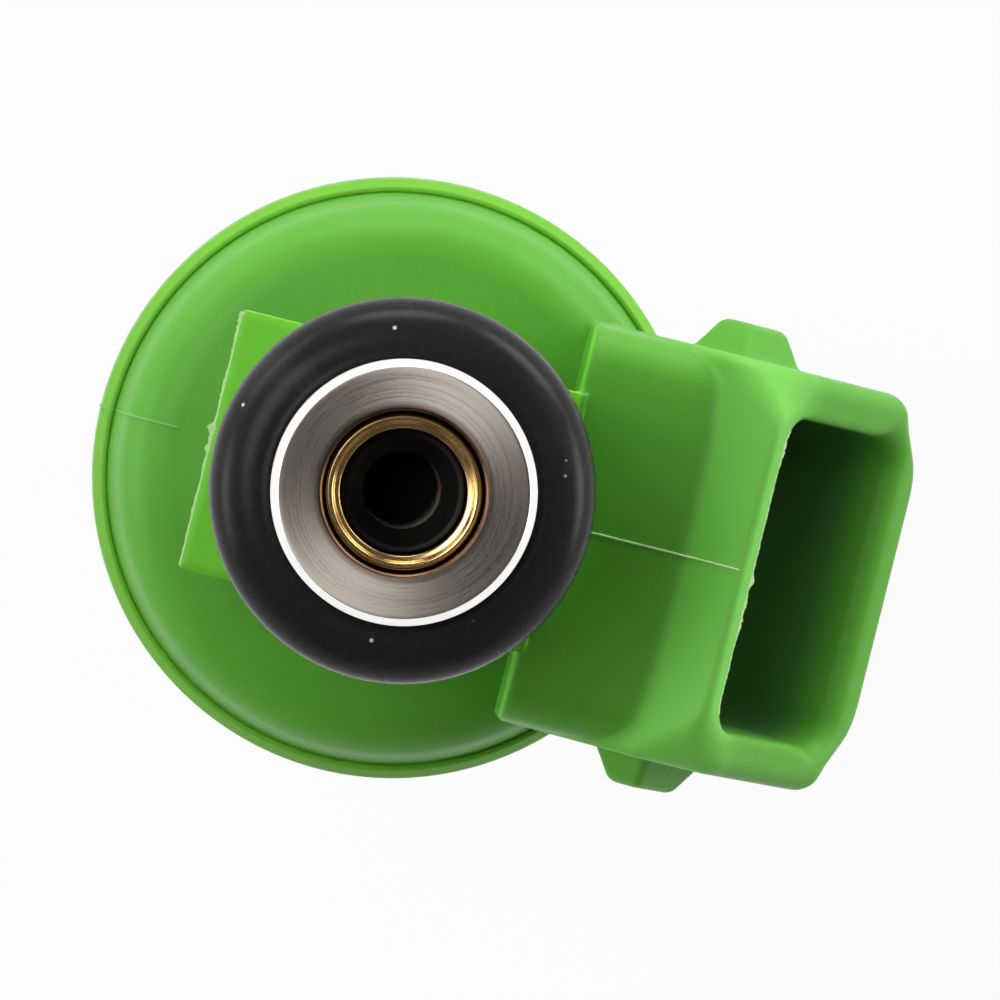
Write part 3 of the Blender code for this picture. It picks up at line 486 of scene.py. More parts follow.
@dataclass(frozen=True)
class TurnedMetal(Finish):
    """Metal off a lathe, with rings of tool marks; its bore may be browned, partly by a stain and partly by
    painted shade and painted reflection, and its rim polished.
    """

    streak_scale: float = 0.35
    streak_detail: float = 5.0
    streak_range: Pair = (0.35, 0.65)
    # Brown near the bore: partly a stain, partly painted shade of the gap beside the brass rim and painted
    # reflection of the brass.
    stain_shade_and_reflection: Colour = (0.30, 0.22, 0.16)
    stain_shade_and_reflection_radius: float = 0.0
    stain_shade_and_reflection_width: float = 0.3 * MM
    polish: Colour = (0.95, 0.94, 0.92)
    polish_radius: float = 0.0
    polish_fade: float = 0.03 * MM

    def detail(self, bench: ShaderBench, where: Output, colour: Output) -> Output:
        """Vary the colour by tool mark, paint brown stain, shade and reflection near the bore and polish it
        at the rim.

        Args:
            bench: the node tree to add to.
            where: the point on the surface; not used.
            colour: colour of the plain metal.

        Returns:
            The colour with every mark on it.
        """
        ring_at = bench.lathe_place()
        rings = bench.noise(ring_at, self.grain_scale * self.streak_scale, self.streak_detail)
        marked = bench.blend(bench.rise(rings, *self.streak_range), colour, self.shade)
        radius = bench.add("ShaderNodeSeparateXYZ", None, Vector=ring_at).outputs["X"]
        # Brown near the bore: stain with painted shade and painted reflection.
        if self.stain_shade_and_reflection_radius:
            near = bench.fall(radius, self.stain_shade_and_reflection_radius, self.stain_shade_and_reflection_radius + self.stain_shade_and_reflection_width)
            marked = bench.blend(near, marked, self.stain_shade_and_reflection)
        if self.polish_radius:
            rim = bench.rise(radius, self.polish_radius, self.polish_radius + self.polish_fade)
            marked = bench.blend(rim, marked, self.polish)
        return marked


@dataclass(frozen=True)
class WoundWire(Finish):
    """Fine enamelled wire in close turns round the axis."""

    turns: float = 2600.0
    grain_share: float = 0.1

    def relief(self, bench: ShaderBench, where: Output, grain: Output) -> Output:
        """Round backs of the turns, one above the other."""
        wave = bench.add("ShaderNodeTexWave", {"bands_direction": "Z"}, Vector=where, Scale=self.turns)
        return bench.sum(bench.times(grain, self.grain_share), wave.outputs["Fac"])


@dataclass(frozen=True)
class Woven(Finish):
    """Fine woven screen cloth."""

    threads: float = 3000.0

    def relief(self, bench: ShaderBench, where: Output, grain: Output) -> Output:
        """Threads up and round, crossing over each other."""
        waves = [bench.add("ShaderNodeTexWave", {"bands_direction": way}, Vector=where, Scale=self.threads)
                 for way in ("Z", "DIAGONAL")]
        return bench.sum(*(wave.outputs["Fac"] for wave in waves))


# Green nylon with painted light on its lip, plate and upper wall, and painted shade in the socket.
GREEN_NYLON = NylonWithPaintedLight(
    Slot.GREEN_NYLON, (0.115, 0.40, 0.040), (0.10, 0.365, 0.034), (0.36, 0.46), Marks.MOULDED,
    fleck=(0.19, 0.50, 0.08), grain_depth=0.000005, specular=0.16)
# Paler green for the fins of flash and the top ridge: painted highlight along their thin edges.
PALE_PAINTED_HIGHLIGHT = Nylon(
    Slot.GREEN_NYLON, (0.46, 0.74, 0.30), (0.38, 0.66, 0.22), (0.40, 0.55), Marks.MOULDED,
    fleck=(0.8, 0.9, 0.7))
# A slightly paler green for the under and shoulder ridges: painted highlight along them.
FAINT_PAINTED_HIGHLIGHT = Nylon(
    Slot.GREEN_NYLON, (0.16, 0.46, 0.07), (0.13, 0.42, 0.055), (0.34, 0.46), Marks.MOULDED,
    fleck=(0.24, 0.55, 0.12))
BLACK_RUBBER = Rubber(
    Slot.BLACK_RUBBER, (0.0165, 0.0165, 0.0172), (0.0195, 0.0190, 0.0200), (0.21, 0.30), Marks.MOULDED,
    grain_scale=3800.0, specular=0.1)
# The brown ring at the bore is partly stain, partly painted shade and painted reflection of the brass.
TURNED_STEEL = TurnedMetal(
    Slot.TURNED_STEEL, (0.72, 0.635, 0.56), (0.65, 0.57, 0.50), (0.24, 0.34), Marks.TURNED, 1.0,
    grain_scale=11000.0, grain_depth=0.0000016, anisotropy=0.7, stain_shade_and_reflection=(0.12, 0.062, 0.03),
    stain_shade_and_reflection_radius=3.14 * MM, stain_shade_and_reflection_width=0.34 * MM, polish_radius=4.70 * MM)
BRASS = TurnedMetal(
    Slot.BRASS, (0.96, 0.70, 0.32), (0.90, 0.62, 0.25), (0.14, 0.24), Marks.TURNED, 1.0,
    grain_scale=6000.0, grain_depth=0.000003)
BLACK_NYLON = Nylon(
    Slot.BLACK_NYLON, (0.012, 0.012, 0.013), (0.016, 0.016, 0.017), (0.34, 0.48), Marks.MOULDED,
    fleck=(0.03, 0.03, 0.032), specular=0.2)
SCREEN_CLOTH = Woven(
    Slot.SCREEN_NYLON, (0.62, 0.58, 0.48), (0.55, 0.51, 0.42), (0.55, 0.7), Marks.WOVEN, grain_depth=0.00003)
ZINC_PLATE = TurnedMetal(
    Slot.ZINC, (0.58, 0.58, 0.56), (0.50, 0.50, 0.49), (0.30, 0.44), Marks.TURNED, 1.0,
    grain_scale=3600.0, grain_depth=0.000004, anisotropy=0.3)
COPPER_WIRE = WoundWire(
    Slot.COPPER, (0.55, 0.20, 0.08), (0.42, 0.14, 0.05), (0.28, 0.42), Marks.WOUND, 1.0, grain_depth=0.00004)
STAINLESS = TurnedMetal(
    Slot.STAINLESS, (0.60, 0.59, 0.57), (0.52, 0.51, 0.50), (0.18, 0.30), Marks.TURNED, 1.0,
    grain_scale=7000.0, grain_depth=0.000003, anisotropy=0.4)
GROUND_STEEL = TurnedMetal(
    Slot.GROUND_STEEL, (0.68, 0.68, 0.68), (0.60, 0.60, 0.60), (0.08, 0.16), Marks.TURNED, 1.0,
    grain_scale=12000.0, grain_depth=0.000002)
SPRING_WIRE = Finish(
    Slot.SPRING_STEEL, (0.36, 0.35, 0.34), (0.28, 0.27, 0.26), (0.25, 0.38), Marks.DRAWN, 1.0,
    grain_scale=6500.0, grain_depth=0.000003)
TINNED_BRONZE = Finish(
    Slot.TINNED, (0.70, 0.62, 0.48), (0.58, 0.50, 0.36), (0.24, 0.36), Marks.DRAWN, 1.0,
    mottle_scale=700.0, grain_scale=5200.0, grain_depth=0.000003)


def rounded(corners: Sequence[Corner], closed: bool, turn_step: float = 11.25) -> Outline:
    """Round the corners of an outline.

    Args:
        corners: (radius, height, corner round) in millimetres, in order.
        closed: whether the last corner joins the first.
        turn_step: most degrees between neighbouring points of a round.

    Returns:
        Points of the outline, with one close to each end of every round, so that flats stay flat.
    """
    count = len(corners)
    places = [Vector(corner[:2]) for corner in corners]
    arms = [((places[i - 1] - places[i]), (places[(i + 1) % count] - places[i])) for i in range(count)]
    ends = () if closed else (0, count - 1)
    reaches = []
    for i, (before, after) in enumerate(arms):
        size = 0.0 if i in ends else corners[i][2]
        half = before.angle(after, math.pi) / 2
        reaches.append(min(size / math.tan(half), before.length * 0.5, after.length * 0.5) if size else 0.0)
    points: list[Vector] = []
    for i, (before, after) in enumerate(arms):
        if not reaches[i]:
            points.append(places[i])
            continue
        points.extend(corner_round(places[i], before, after, reaches[i], turn_step))
        ahead, next_reach = after.normalized(), reaches[(i + 1) % count]
        spare = after.length - reaches[i] - next_reach
        support = min(SUPPORT, spare / 3)
        if spare > SUPPORT_GAP:
            points.append(places[i] + ahead * (reaches[i] + support))
            if next_reach:
                points.append(places[i] + ahead * (after.length - next_reach - support))
    return [(point.x, point.y) for i, point in enumerate(points)
            if (point - points[i - 1]).length > SAME_POINT]


def corner_round(place: Vector, before: Vector, after: Vector, reach: float,
                 turn_step: float) -> list[Vector]:
    """Points of one round corner.

    Args:
        place: the sharp corner.
        before: arm from the corner back along the outline.
        after: arm from the corner on along the outline.
        reach: distance from the corner at which the round begins and ends.
        turn_step: most degrees between neighbouring points.

    Returns:
        Points from the round's start to its end.
    """
    back, ahead = before.normalized(), after.normalized()
    angle = back.angle(ahead)
    sweep = math.pi - angle
    middle = place + (back + ahead).normalized() * reach / math.cos(angle / 2)
    arm = place + back * reach - middle
    turn = -math.copysign(sweep, back.x * ahead.y - back.y * ahead.x)
    steps = max(2, math.ceil(math.degrees(sweep) / turn_step))
    return [middle + Matrix.Rotation(turn * k / steps, 2) @ arm for k in range(steps + 1)]


def turned_mesh(name: str, outline: Outline, closed: bool, flats: int = 160) -> bpy.types.Mesh:
    """Spin an outline about the injector's axis.

    Args:
        name: the mesh's name.
        outline: (radius, height) points in millimetres; an open outline ends on the axis.
        closed: whether the outline is a ring.
        flats: faces round the axis.

    Returns:
        A closed mesh in metres.
    """
    shape = bmesh.new()
    rows = []
    for radius, height in outline:
        if radius < SAME_POINT:
            rows.append([shape.verts.new((0.0, 0.0, height * MM))] * flats)
            continue
        angles = [math.tau * k / flats for k in range(flats)]
        rows.append([shape.verts.new((radius * math.cos(a) * MM, radius * math.sin(a) * MM, height * MM))
                     for a in angles])
    for i in range(len(rows) if closed else len(rows) - 1):
        low, high = rows[i], rows[(i + 1) % len(rows)]
        for k in range(flats):
            ring = [low[k], low[(k + 1) % flats], high[(k + 1) % flats], high[k]]
            shape.faces.new(list(dict.fromkeys(ring)))
    return finished_mesh(name, shape)


def smoothed(mesh: bpy.types.Mesh) -> bpy.types.Mesh:
    """Shade a mesh smooth, with its real edges kept sharp.

    Args:
        mesh: the mesh.

    Returns:
        The same mesh.
    """
    if OWN_NORMALS in mesh.attributes:
        mesh.attributes.remove(mesh.attributes[OWN_NORMALS])
    mesh.shade_smooth()
    mesh.set_sharp_from_angle(angle=SMOOTH_ANGLE)
    return mesh


def finished_mesh(name: str, shape: bmesh.types.BMesh) -> bpy.types.Mesh:
    """Write a shape out as a smooth-shaded mesh with its normals outward.

    Args:
        name: the mesh's name.
        shape: the shape, in metres, which is freed.

    Returns:
        The mesh.
    """
    bmesh.ops.recalc_face_normals(shape, faces=shape.faces)
    mesh = bpy.data.meshes.new(name)
    shape.to_mesh(mesh)
    shape.free()
    return smoothed(mesh)


def rounded_meet(size: float | np.ndarray, *sides: np.ndarray) -> np.ndarray:
    """Where several fields overlap, with the edges between them rounded off.

    Args:
        size: radius of the rounding.
        sides: the fields.

    Returns:
        The field of the overlap.
    """
    worst = np.maximum.reduce(np.broadcast_arrays(*sides))
    over = sum(np.maximum(side + size, 0.0) ** 2 for side in sides)
    return np.minimum(worst, -size) + np.sqrt(over)


def filleted_join(size: float, first: np.ndarray, second: np.ndarray) -> np.ndarray:
    """Two fields joined, with the corner between them filled by a fillet of a size."""
    under = np.maximum(size - first, 0.0) ** 2 + np.maximum(size - second, 0.0) ** 2
    return np.maximum(np.minimum(first, second), size) - np.sqrt(under)


def eased(sizes: Pair, value: np.ndarray, start: float, fade: float) -> np.ndarray:
    """A size that goes from the first to the second as a value passes a start, over a fade."""
    return sizes[0] + (sizes[1] - sizes[0]) * np.clip((value - start) / fade, 0.0, 1.0)


def settled(field: Field, points: np.ndarray, rounds: int = 4, probe: float = 0.002,
            least_slope: float = 0.05) -> np.ndarray:
    """Move points on to the form that a field describes.

    Args:
        field: signed distance in millimetres.
        points: points near the form.
        rounds: how often they are moved.
        probe: distance at which the slope is read.
        least_slope: least squared slope that a move is worked out from.

    Returns:
        The moved points.
    """
    for _ in range(rounds):
        value = field(*points.T)
        slope = np.stack([
            (field(*(points + probe * unit).T) - field(*(points - probe * unit).T)) / (2 * probe)
            for unit in np.eye(3)
        ], axis=1)
        scale = np.maximum((slope ** 2).sum(axis=1), least_slope)
        points = points - slope * (value / scale)[:, None]
    return points


@dataclass
class FieldSkin:
    """Even skin of quads round a closed form that is given as a field, negative inside."""

    field: Field
    low: Place
    high: Place
    step: float

    def __post_init__(self) -> None:
        """Sample the field on a grid and find the cells that the form's surface crosses."""
        axes = [np.arange(self.low[i], self.high[i] + self.step, self.step) for i in range(3)]
        self.values = self.field(*np.meshgrid(*axes, indexing="ij", sparse=True))
        self.cells = tuple(n - 1 for n in self.values.shape)
        inside = sum((self.at_corner(corner) < 0).astype(np.int8) for corner in CELL_CORNERS)
        self.crossed = (inside > 0) & (inside < len(CELL_CORNERS))

    def at_corner(self, corner: tuple[int, ...]) -> np.ndarray:
        """The grid's values at one corner of every cell."""
        return self.values[tuple(slice(c, c + n) for c, n in zip(corner, self.cells))]

    def points(self) -> np.ndarray:
        """One point on the form for every crossed cell.

        Returns:
            Points in millimetres, in the order of the cells.
        """
        count = int(self.crossed.sum())
        total, hits = np.zeros((count, 3)), np.zeros(count)
        for corner in CELL_CORNERS:
            for axis in (n for n in range(3) if not corner[n]):
                far = tuple(1 if n == axis else corner[n] for n in range(3))
                start, end = self.at_corner(corner)[self.crossed], self.at_corner(far)[self.crossed]
                cut = (start < 0) != (end < 0)
                crossing = np.tile(np.array(corner, float), (count, 1))
                crossing[:, axis] += np.where(cut, start / np.where(cut, start - end, 1.0), 0.0)
                total[cut] += crossing[cut]
                hits[cut] += 1
        rough = (np.argwhere(self.crossed) + total / hits[:, None]) * self.step + np.array(self.low)
        return settled(self.field, rough)

    def quads(self) -> np.ndarray:
        """Quads of the skin, one for every grid edge that the form's surface cuts.

        Returns:
            Four point numbers for each quad.
        """
        number = np.full(self.cells, -1, np.int64)
        number[self.crossed] = np.arange(self.crossed.sum())
        faces = []
        for axis in range(3):
            one, two = [n for n in range(3) if n != axis]
            start = self.values[tuple(slice(None, -1) if n == axis else slice(1, -1) for n in range(3))]
            end = self.values[tuple(slice(1, None) if n == axis else slice(1, -1) for n in range(3))]
            places = np.argwhere((start < 0) != (end < 0))
            ring = []
            for step_one, step_two in ((0, 0), (1, 0), (1, 1), (0, 1)):
                cell = places.copy()
                cell[:, one] += step_one
                cell[:, two] += step_two
                ring.append(number[tuple(cell.T)])
            faces.append(np.stack(ring, axis=1))
        return np.concatenate(faces)

    def mesh(self, name: str) -> bpy.types.Mesh:
        """Join the points and quads up.

        Args:
            name: the mesh's name.

        Returns:
            A closed mesh in metres.
        """
        shape = bmesh.new()
        verts = [shape.verts.new(point) for point in self.points() * MM]
        for quad in self.quads():
            shape.faces.new([verts[i] for i in quad])
        return finished_mesh(name, shape)


def strip_mesh(name: str, rings: np.ndarray) -> bpy.types.Mesh:
    """Join rings of points into one closed strip.

    Args:
        name: the mesh's name.
        rings: points in millimetres, one closed ring after another along the strip.

    Returns:
        A closed mesh in metres.
    """
    shape = bmesh.new()
    rows = [[shape.verts.new(point) for point in ring] for ring in rings * MM]
    sides = len(rows[0])
    for low, high in zip(rows, rows[1:]):
        for k in range(sides):
            shape.faces.new([low[k], low[(k + 1) % sides], high[(k + 1) % sides], high[k]])
    shape.faces.new(rows[0])
    shape.faces.new(rows[-1])
    return finished_mesh(name, shape)


def combined(target: bpy.types.Object, tool: bpy.types.Object, cut: Cut) -> None:
    """Join a tool to a piece or cut it away, and delete the tool.

    Args:
        target: the piece, whose mesh is replaced.
        tool: what is joined or cut away.
        cut: which of the two.
    """
    modifier = target.modifiers.new(tool.name, "BOOLEAN")
    modifier.operation = cut.value
    modifier.solver = "EXACT"
    modifier.object = tool
    graph = bpy.context.evaluated_depsgraph_get()
    made = bpy.data.meshes.new_from_object(target.evaluated_get(graph))
    target.modifiers.clear()
    target.data = smoothed(made)
    bpy.data.objects.remove(tool, do_unlink=True)


def loose(name: str, data: bpy.types.ID) -> bpy.types.Object:
    """Put a mesh, a lamp or a camera in the scene.

    Args:
        name: the new object's name.
        data: what the object shows.

    Returns:
        The object.
    """
    thing = bpy.data.objects.new(name, data)
    bpy.context.scene.collection.objects.link(thing)
    return thing


def box_mesh(name: str, low: Place, high: Place) -> bpy.types.Mesh:
    """A plain box, for cutting.

    Args:
        name: the mesh's name.
        low: its lower corner, in millimetres.
        high: its upper corner.

    Returns:
        A closed mesh in metres.
    """
    shape = bmesh.new()
    bmesh.ops.create_cube(shape, size=1.0)
    for vert in shape.verts:
        vert.co = Vector([(low[i] if vert.co[i] < 0 else high[i]) * MM for i in range(3)])
    return finished_mesh(name, shape)


def solid_copy(node: str, margin: float = 0.0) -> bmesh.types.BMesh:
    """Copy a node's solid, with its flat faces whole.

    Args:
        node: the solid's node.
        margin: how far the copy's faces stand off the solid's, in millimetres.

    Returns:
        The copy, in metres.
    """
    shape = bmesh.new()
    shape.from_mesh(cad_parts[node].data)
    bmesh.ops.remove_doubles(shape, verts=shape.verts, dist=WELD)
    bmesh.ops.dissolve_limit(shape, angle_limit=FLAT_ANGLE, verts=shape.verts, edges=shape.edges)
    bmesh.ops.recalc_face_normals(shape, faces=shape.faces)
    shape.normal_update()
    moves = [vert.normal * vert.calc_shell_factor() * margin * MM for vert in shape.verts]
    for vert, move in zip(shape.verts, moves):
        vert.co += move
    return shape


@dataclass(frozen=True)
class Reach:
    """Foot, top and radius of a turned solid, in millimetres."""

    foot: float
    top: float
    radius: float

    @classmethod
    def of(cls, node: str) -> "Reach":
        """Read a node's reach from the frame."""
        low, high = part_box(node)
        return cls(low.z / MM, high.z / MM, high.y / MM)


class Workshop:
    """Turns meshes into pieces of the injector: finish, slot, body and the node each stands for."""

    def __init__(self) -> None:
        """Start with no material made."""
        self.made: dict[Finish, bpy.types.Material] = {}

    def material(self, finish: Finish) -> bpy.types.Material:
        """Look up a finish's material, and make it the first time.

        Args:
            finish: the finish.

        Returns:
            Its material.
        """
        if finish not in self.made:
            self.made[finish] = finish.material()
        return self.made[finish]

    def fit(self, thing: bpy.types.Object, finish: Finish, node: str = "") -> bpy.types.Object:
        """Dress an object and seat it on the injector's fixed body.

        Args:
            thing: the object, in place in the frame.
            finish: what its surface is.
            node: solid that it stands for, if any.

        Returns:
            The same object.
        """
        thing.data.materials.clear()
        thing.data.materials.append(self.material(finish))
        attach(thing, Body.FIXED.value)
        if node:
            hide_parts(node)
        return thing

    def piece(self, name: str, mesh: bpy.types.Mesh, finish: Finish, node: str = "") -> bpy.types.Object:
        """Make a mesh into a piece of a finish, which may stand for a node."""
        return self.fit(loose(name, mesh), finish, node)

    def turn(self, node: str, finish: Finish, corners: Sequence[Corner],
             flats: int = 160) -> bpy.types.Object:
        """Turn a ring-shaped piece that stands for a node."""
        mesh = turned_mesh(f"{node}_turned", rounded(corners, True), True, flats)
        return self.piece(f"{node}_turned", mesh, finish, node)

    def seal(self, node: str, flash: float = 0.02, sides: int = 72, flats: int = 192) -> bpy.types.Object:
        """Mould a ring seal, with the fine flash line that its mould leaves round the outside.

        Args:
            node: solid that it stands for.
            flash: how far the line stands out, in millimetres.
            sides: points round the section.
            flats: faces round the axis.

        Returns:
            The seal.
        """
        reach = Reach.of(node)
        section = (reach.top - reach.foot) / 2
        height = reach.foot + section
        outline = []
        for k in range(sides):
            angle = math.tau * k / sides
            size = section if k == 0 else section - flash
            outline.append((reach.radius - section + size * math.cos(angle), height + size * math.sin(angle)))
        mesh = turned_mesh(f"{node}_moulded", outline, True, flats)
        return self.piece(f"{node}_moulded", mesh, BLACK_RUBBER, node)


@dataclass
class MouldedBody:
    """Green moulding: neck, clip plate, domed shoulder, skirt and tilted connector."""

    tilt: float = CONNECTOR_TILT
    mouth_x: float = MOUTH_X
    mouth_z: float = MOUTH_Z
    half_width: float = 8.04
    upper_half: float = 5.7
    lower_half: float = 5.8
    length: float = 13.0
    lower_cut: Pair = (2.85, 1.75)
    lower_round: float = 0.7
    upper_cut: float = 1.9
    block_top: float = 62.25
    crown_start: float = 3.6
    crown_drop: float = 0.45
    block_round: float = 1.6
    block_wall: float = 5.96
    buried_foot: float = 48.0
    crease_fillet: float = 0.22
    tube_round: float = 0.42
    rim_round: float = 0.38
    side_rim_round: float = 0.8
    side_rim_start: float = 5.2
    side_rim_fade: float = 1.6
    wall_round: float = 0.34
    socket_half: float = 6.25
    socket_low: float = -4.1
    socket_high: float = 4.75
    socket_depth: float = 8.5
    socket_corner: float = 1.3
    socket_floor_round: float = 0.6
    mouth_round: float = 0.30
    soft_mouth_round: float = 0.9
    soft_mouth_top: float = -1.6
    soft_mouth_fade: float = 1.6
    lug_behind: float = 5.55
    lug_root: float = 7.5
    lug_crest: float = 9.38
    lug_foot: Pair = (1.55, 2.45)
    lug_head: Pair = (0.72, 1.42)
    lug_round: float = 0.26
    lug_fillet: float = 0.12
    plate_low: Place = (-7.45, -5.15, 60.65)
    plate_high: Place = (6.3, 5.15, 62.65)
    plate_round: float = 0.14
    plate_fillet: float = 0.1
    skin_step: float = 0.16
    skin_high: Pair = (21.0, 64.6)
    skin_margin: float = 0.5
    skin_foot_margin: float = 1.5
    skirt_radius: float = 11.75
    skirt_round: float = 0.45
    lip_radius: float = 12.0
    lip_foot: float = 49.65
    lip_foot_round: float = 2.0
    lip_top: float = 51.93
    lip_height: float = 0.65
    lip_width: float = 0.22
    lip_lean: float = 0.06
    lip_side_round: float = 0.5
    lip_edge_round: float = 0.2
    groove_radius: float = 11.37
    groove_depth: float = 0.11
    groove_edge_round: float = 0.05
    groove_floor_round: float = 0.03
    dome_radius: float = 11.3
    dome_foot: float = 52.05
    dome_foot_round: float = 0.05
    dome_top: float = 56.5
    dome_crest: Pair = (10.6, 55.9)
    dome_round: float = 2.3
    lower_neck: float = 4.6
    upper_neck: float = 5.9
    neck_round: float = 0.35
    pocket_radius: float = 10.5
    pocket_roof: float = 46.15
    bore_radius: float = 3.8
    bore_round: float = 0.15
    blade_margin: float = 0.06
    turn_step: float = 6.0
    flats: int = 200

    def tilted(self, x: np.ndarray, z: np.ndarray) -> Distances:
        """Lay places out from the connector's mouth.

        Args:
            x: distances from the injector's axis towards the connector, in millimetres.
            z: heights, in millimetres.

        Returns:
            Distance out along the connector from its mouth, and across it upward.
        """
        run, rise = x - self.mouth_x, z - self.mouth_z
        cos, sin = math.cos(self.tilt), math.sin(self.tilt)
        return run * cos + rise * sin, rise * cos - run * sin

    def at_mouth(self, out: np.ndarray, side: np.ndarray, up: np.ndarray) -> np.ndarray:
        """Find points that are laid out from the connector's mouth.

        Args:
            out: distances out along the connector from its mouth, in millimetres.
            side: distances to the side.
            up: distances across it upward.

        Returns:
            The points, in the solids' frame.
        """
        cos, sin = math.cos(self.tilt), math.sin(self.tilt)
        x = self.mouth_x + out * cos - up * sin
        z = self.mouth_z + out * sin + up * cos
        return np.stack(np.broadcast_arrays(x, side, z), axis=-1)

    def crease(self) -> float:
        """How far behind the mouth the tilted upper face meets the block's level top."""
        edge = self.mouth_z + math.cos(self.tilt) * self.upper_half
        return (self.block_top - edge) / math.sin(self.tilt)

    def crown(self, y: np.ndarray) -> np.ndarray:
        """How far the block's top falls towards its sides."""
        share = np.maximum(np.abs(y) - self.crown_start, 0.0) / (self.half_width - self.crown_start)
        return self.crown_drop * share ** 2

    def shell_field(self, x: np.ndarray, y: np.ndarray, z: np.ndarray) -> np.ndarray:
        """Outside of the block and the tilted tube.

        Args:
            x, y, z: coordinates in millimetres.

        Returns:
            Signed distance, negative inside.
        """
        out, up = self.tilted(x, z)
        side = np.abs(y) - self.half_width
        over = up - self.upper_half
        block = rounded_meet(self.block_round, z - self.block_top + self.crown(y), side)
        top = filleted_join(self.crease_fillet, block, over)
        crease = self.crease()
        taper = self.upper_cut / -crease
        pared = side + over + taper * (out - crease) - np.maximum(crease - out, 0.0)
        pared = pared / math.sqrt(2 + taper ** 2)
        wide, high = self.lower_cut
        chamfer = (side * high - (up + self.lower_half - high) * wide) / math.hypot(wide, high)
        flanks = rounded_meet(self.lower_round, side, chamfer, -self.lower_half - up)
        tube = rounded_meet(self.tube_round, top, flanks, pared)
        rims = (self.rim_round, self.side_rim_round)
        shell = rounded_meet(eased(rims, np.abs(y), self.side_rim_start, self.side_rim_fade), tube, out)
        shell = rounded_meet(self.wall_round, shell, self.block_wall - x)
        return np.maximum(np.maximum(shell, self.buried_foot - z), -self.length - out)

    def socket_field(self, x: np.ndarray, y: np.ndarray, z: np.ndarray) -> np.ndarray:
        """Hollow that takes the plug.

        Args:
            x, y, z: coordinates in millimetres.

        Returns:
            Signed distance, negative in the hollow.
        """
        out, up = self.tilted(x, z)
        middle = (self.socket_high + self.socket_low) / 2
        half = (self.socket_high - self.socket_low) / 2
        hole = rounded_meet(self.socket_corner, np.abs(y) - self.socket_half, np.abs(up - middle) - half)
        return rounded_meet(self.socket_floor_round, hole, -self.socket_depth - out)

    def lug_field(self, x: np.ndarray, y: np.ndarray, z: np.ndarray) -> np.ndarray:
        """Catches on the tube's two sides.

        Args:
            x, y, z: coordinates in millimetres.

        Returns:
            Signed distance, negative inside.
        """
        out, up = self.tilted(x, z)
        aside = np.abs(y)
        height = self.lug_crest - self.lug_root
        share = (aside - self.lug_root) / height
        sides = [aside - self.lug_crest, self.lug_root - aside]
        distances = (np.abs(out + self.lug_behind), np.abs(up))
        for distance, foot, head in zip(distances, self.lug_foot, self.lug_head):
            sides.append((distance - foot + (foot - head) * share) / math.hypot(1.0, (foot - head) / height))
        return rounded_meet(self.lug_round, *sides)

    def plate_field(self, x: np.ndarray, y: np.ndarray, z: np.ndarray) -> np.ndarray:
        """Plate that the rail's clip grips."""
        (left, _, foot), (right, half, top) = self.plate_low, self.plate_high
        return rounded_meet(self.plate_round, left - x, x - right, np.abs(y) - half, foot - z, z - top)

    def connector_field(self, x: np.ndarray, y: np.ndarray, z: np.ndarray) -> np.ndarray:
        """Block, tube, socket, catches and clip plate as one form.

        Args:
            x, y, z: coordinates in millimetres.

        Returns:
            Signed distance, negative inside.
        """
        _, up = self.tilted(x, z)
        edges = (self.mouth_round, self.soft_mouth_round)
        edge = eased(edges, -up, -self.soft_mouth_top, self.soft_mouth_fade)
        form = rounded_meet(edge, self.shell_field(x, y, z), -self.socket_field(x, y, z))
        form = filleted_join(self.lug_fillet, form, self.lug_field(x, y, z))
        form = filleted_join(self.plate_fillet, form, self.plate_field(x, y, z))
        return np.maximum(form, (self.bore_radius + self.lower_neck) / 2 - np.hypot(x, y))

    def shoulder_corners(self) -> list[Corner]:
        """Corners of the skirt, lip, groove and dome.

        Returns:
            Corners from the skirt's foot up to the neck.
        """
        foot = Reach.of("overmould_body").foot
        lip, groove = self.lip_radius, self.groove_radius
        return [
            (self.pocket_radius, foot, 0.0),
            (self.skirt_radius, foot, self.skirt_round),
            (lip, self.lip_foot, self.lip_foot_round),
            (lip - self.lip_lean, self.lip_top - self.lip_height, self.lip_side_round),
            (groove + self.lip_width, self.lip_top, self.lip_edge_round),
            (groove + self.lip_lean, self.lip_top, self.groove_edge_round),
            (groove, self.lip_top - self.groove_depth, self.groove_floor_round),
            (self.dome_radius, self.dome_foot, self.dome_foot_round),
            (*self.dome_crest, self.dome_round),
            (self.lower_neck, self.dome_top, self.neck_round),
        ]

    def round_body(self) -> bpy.types.Object:
        """Neck, domed shoulder, lip and skirt round the inlet tube and the coil's housing.

        Returns:
            A closed ring, not dressed yet.
        """
        top = Reach.of("overmould_body").top
        plate_middle = (self.plate_low[2] + self.plate_high[2]) / 2
        corners = [
            *self.shoulder_corners(),
            (self.lower_neck, plate_middle, 0.0),
            (self.upper_neck, plate_middle, 0.0),
            (self.upper_neck, top, self.neck_round),
            (self.bore_radius, top, self.bore_round),
            (self.bore_radius, self.pocket_roof, self.bore_round),
            (self.pocket_radius, self.pocket_roof, self.bore_round),
        ]
        outline = rounded(corners, True, self.turn_step)
        return loose("overmould_moulded", turned_mesh("overmould_moulded", outline, True, self.flats))

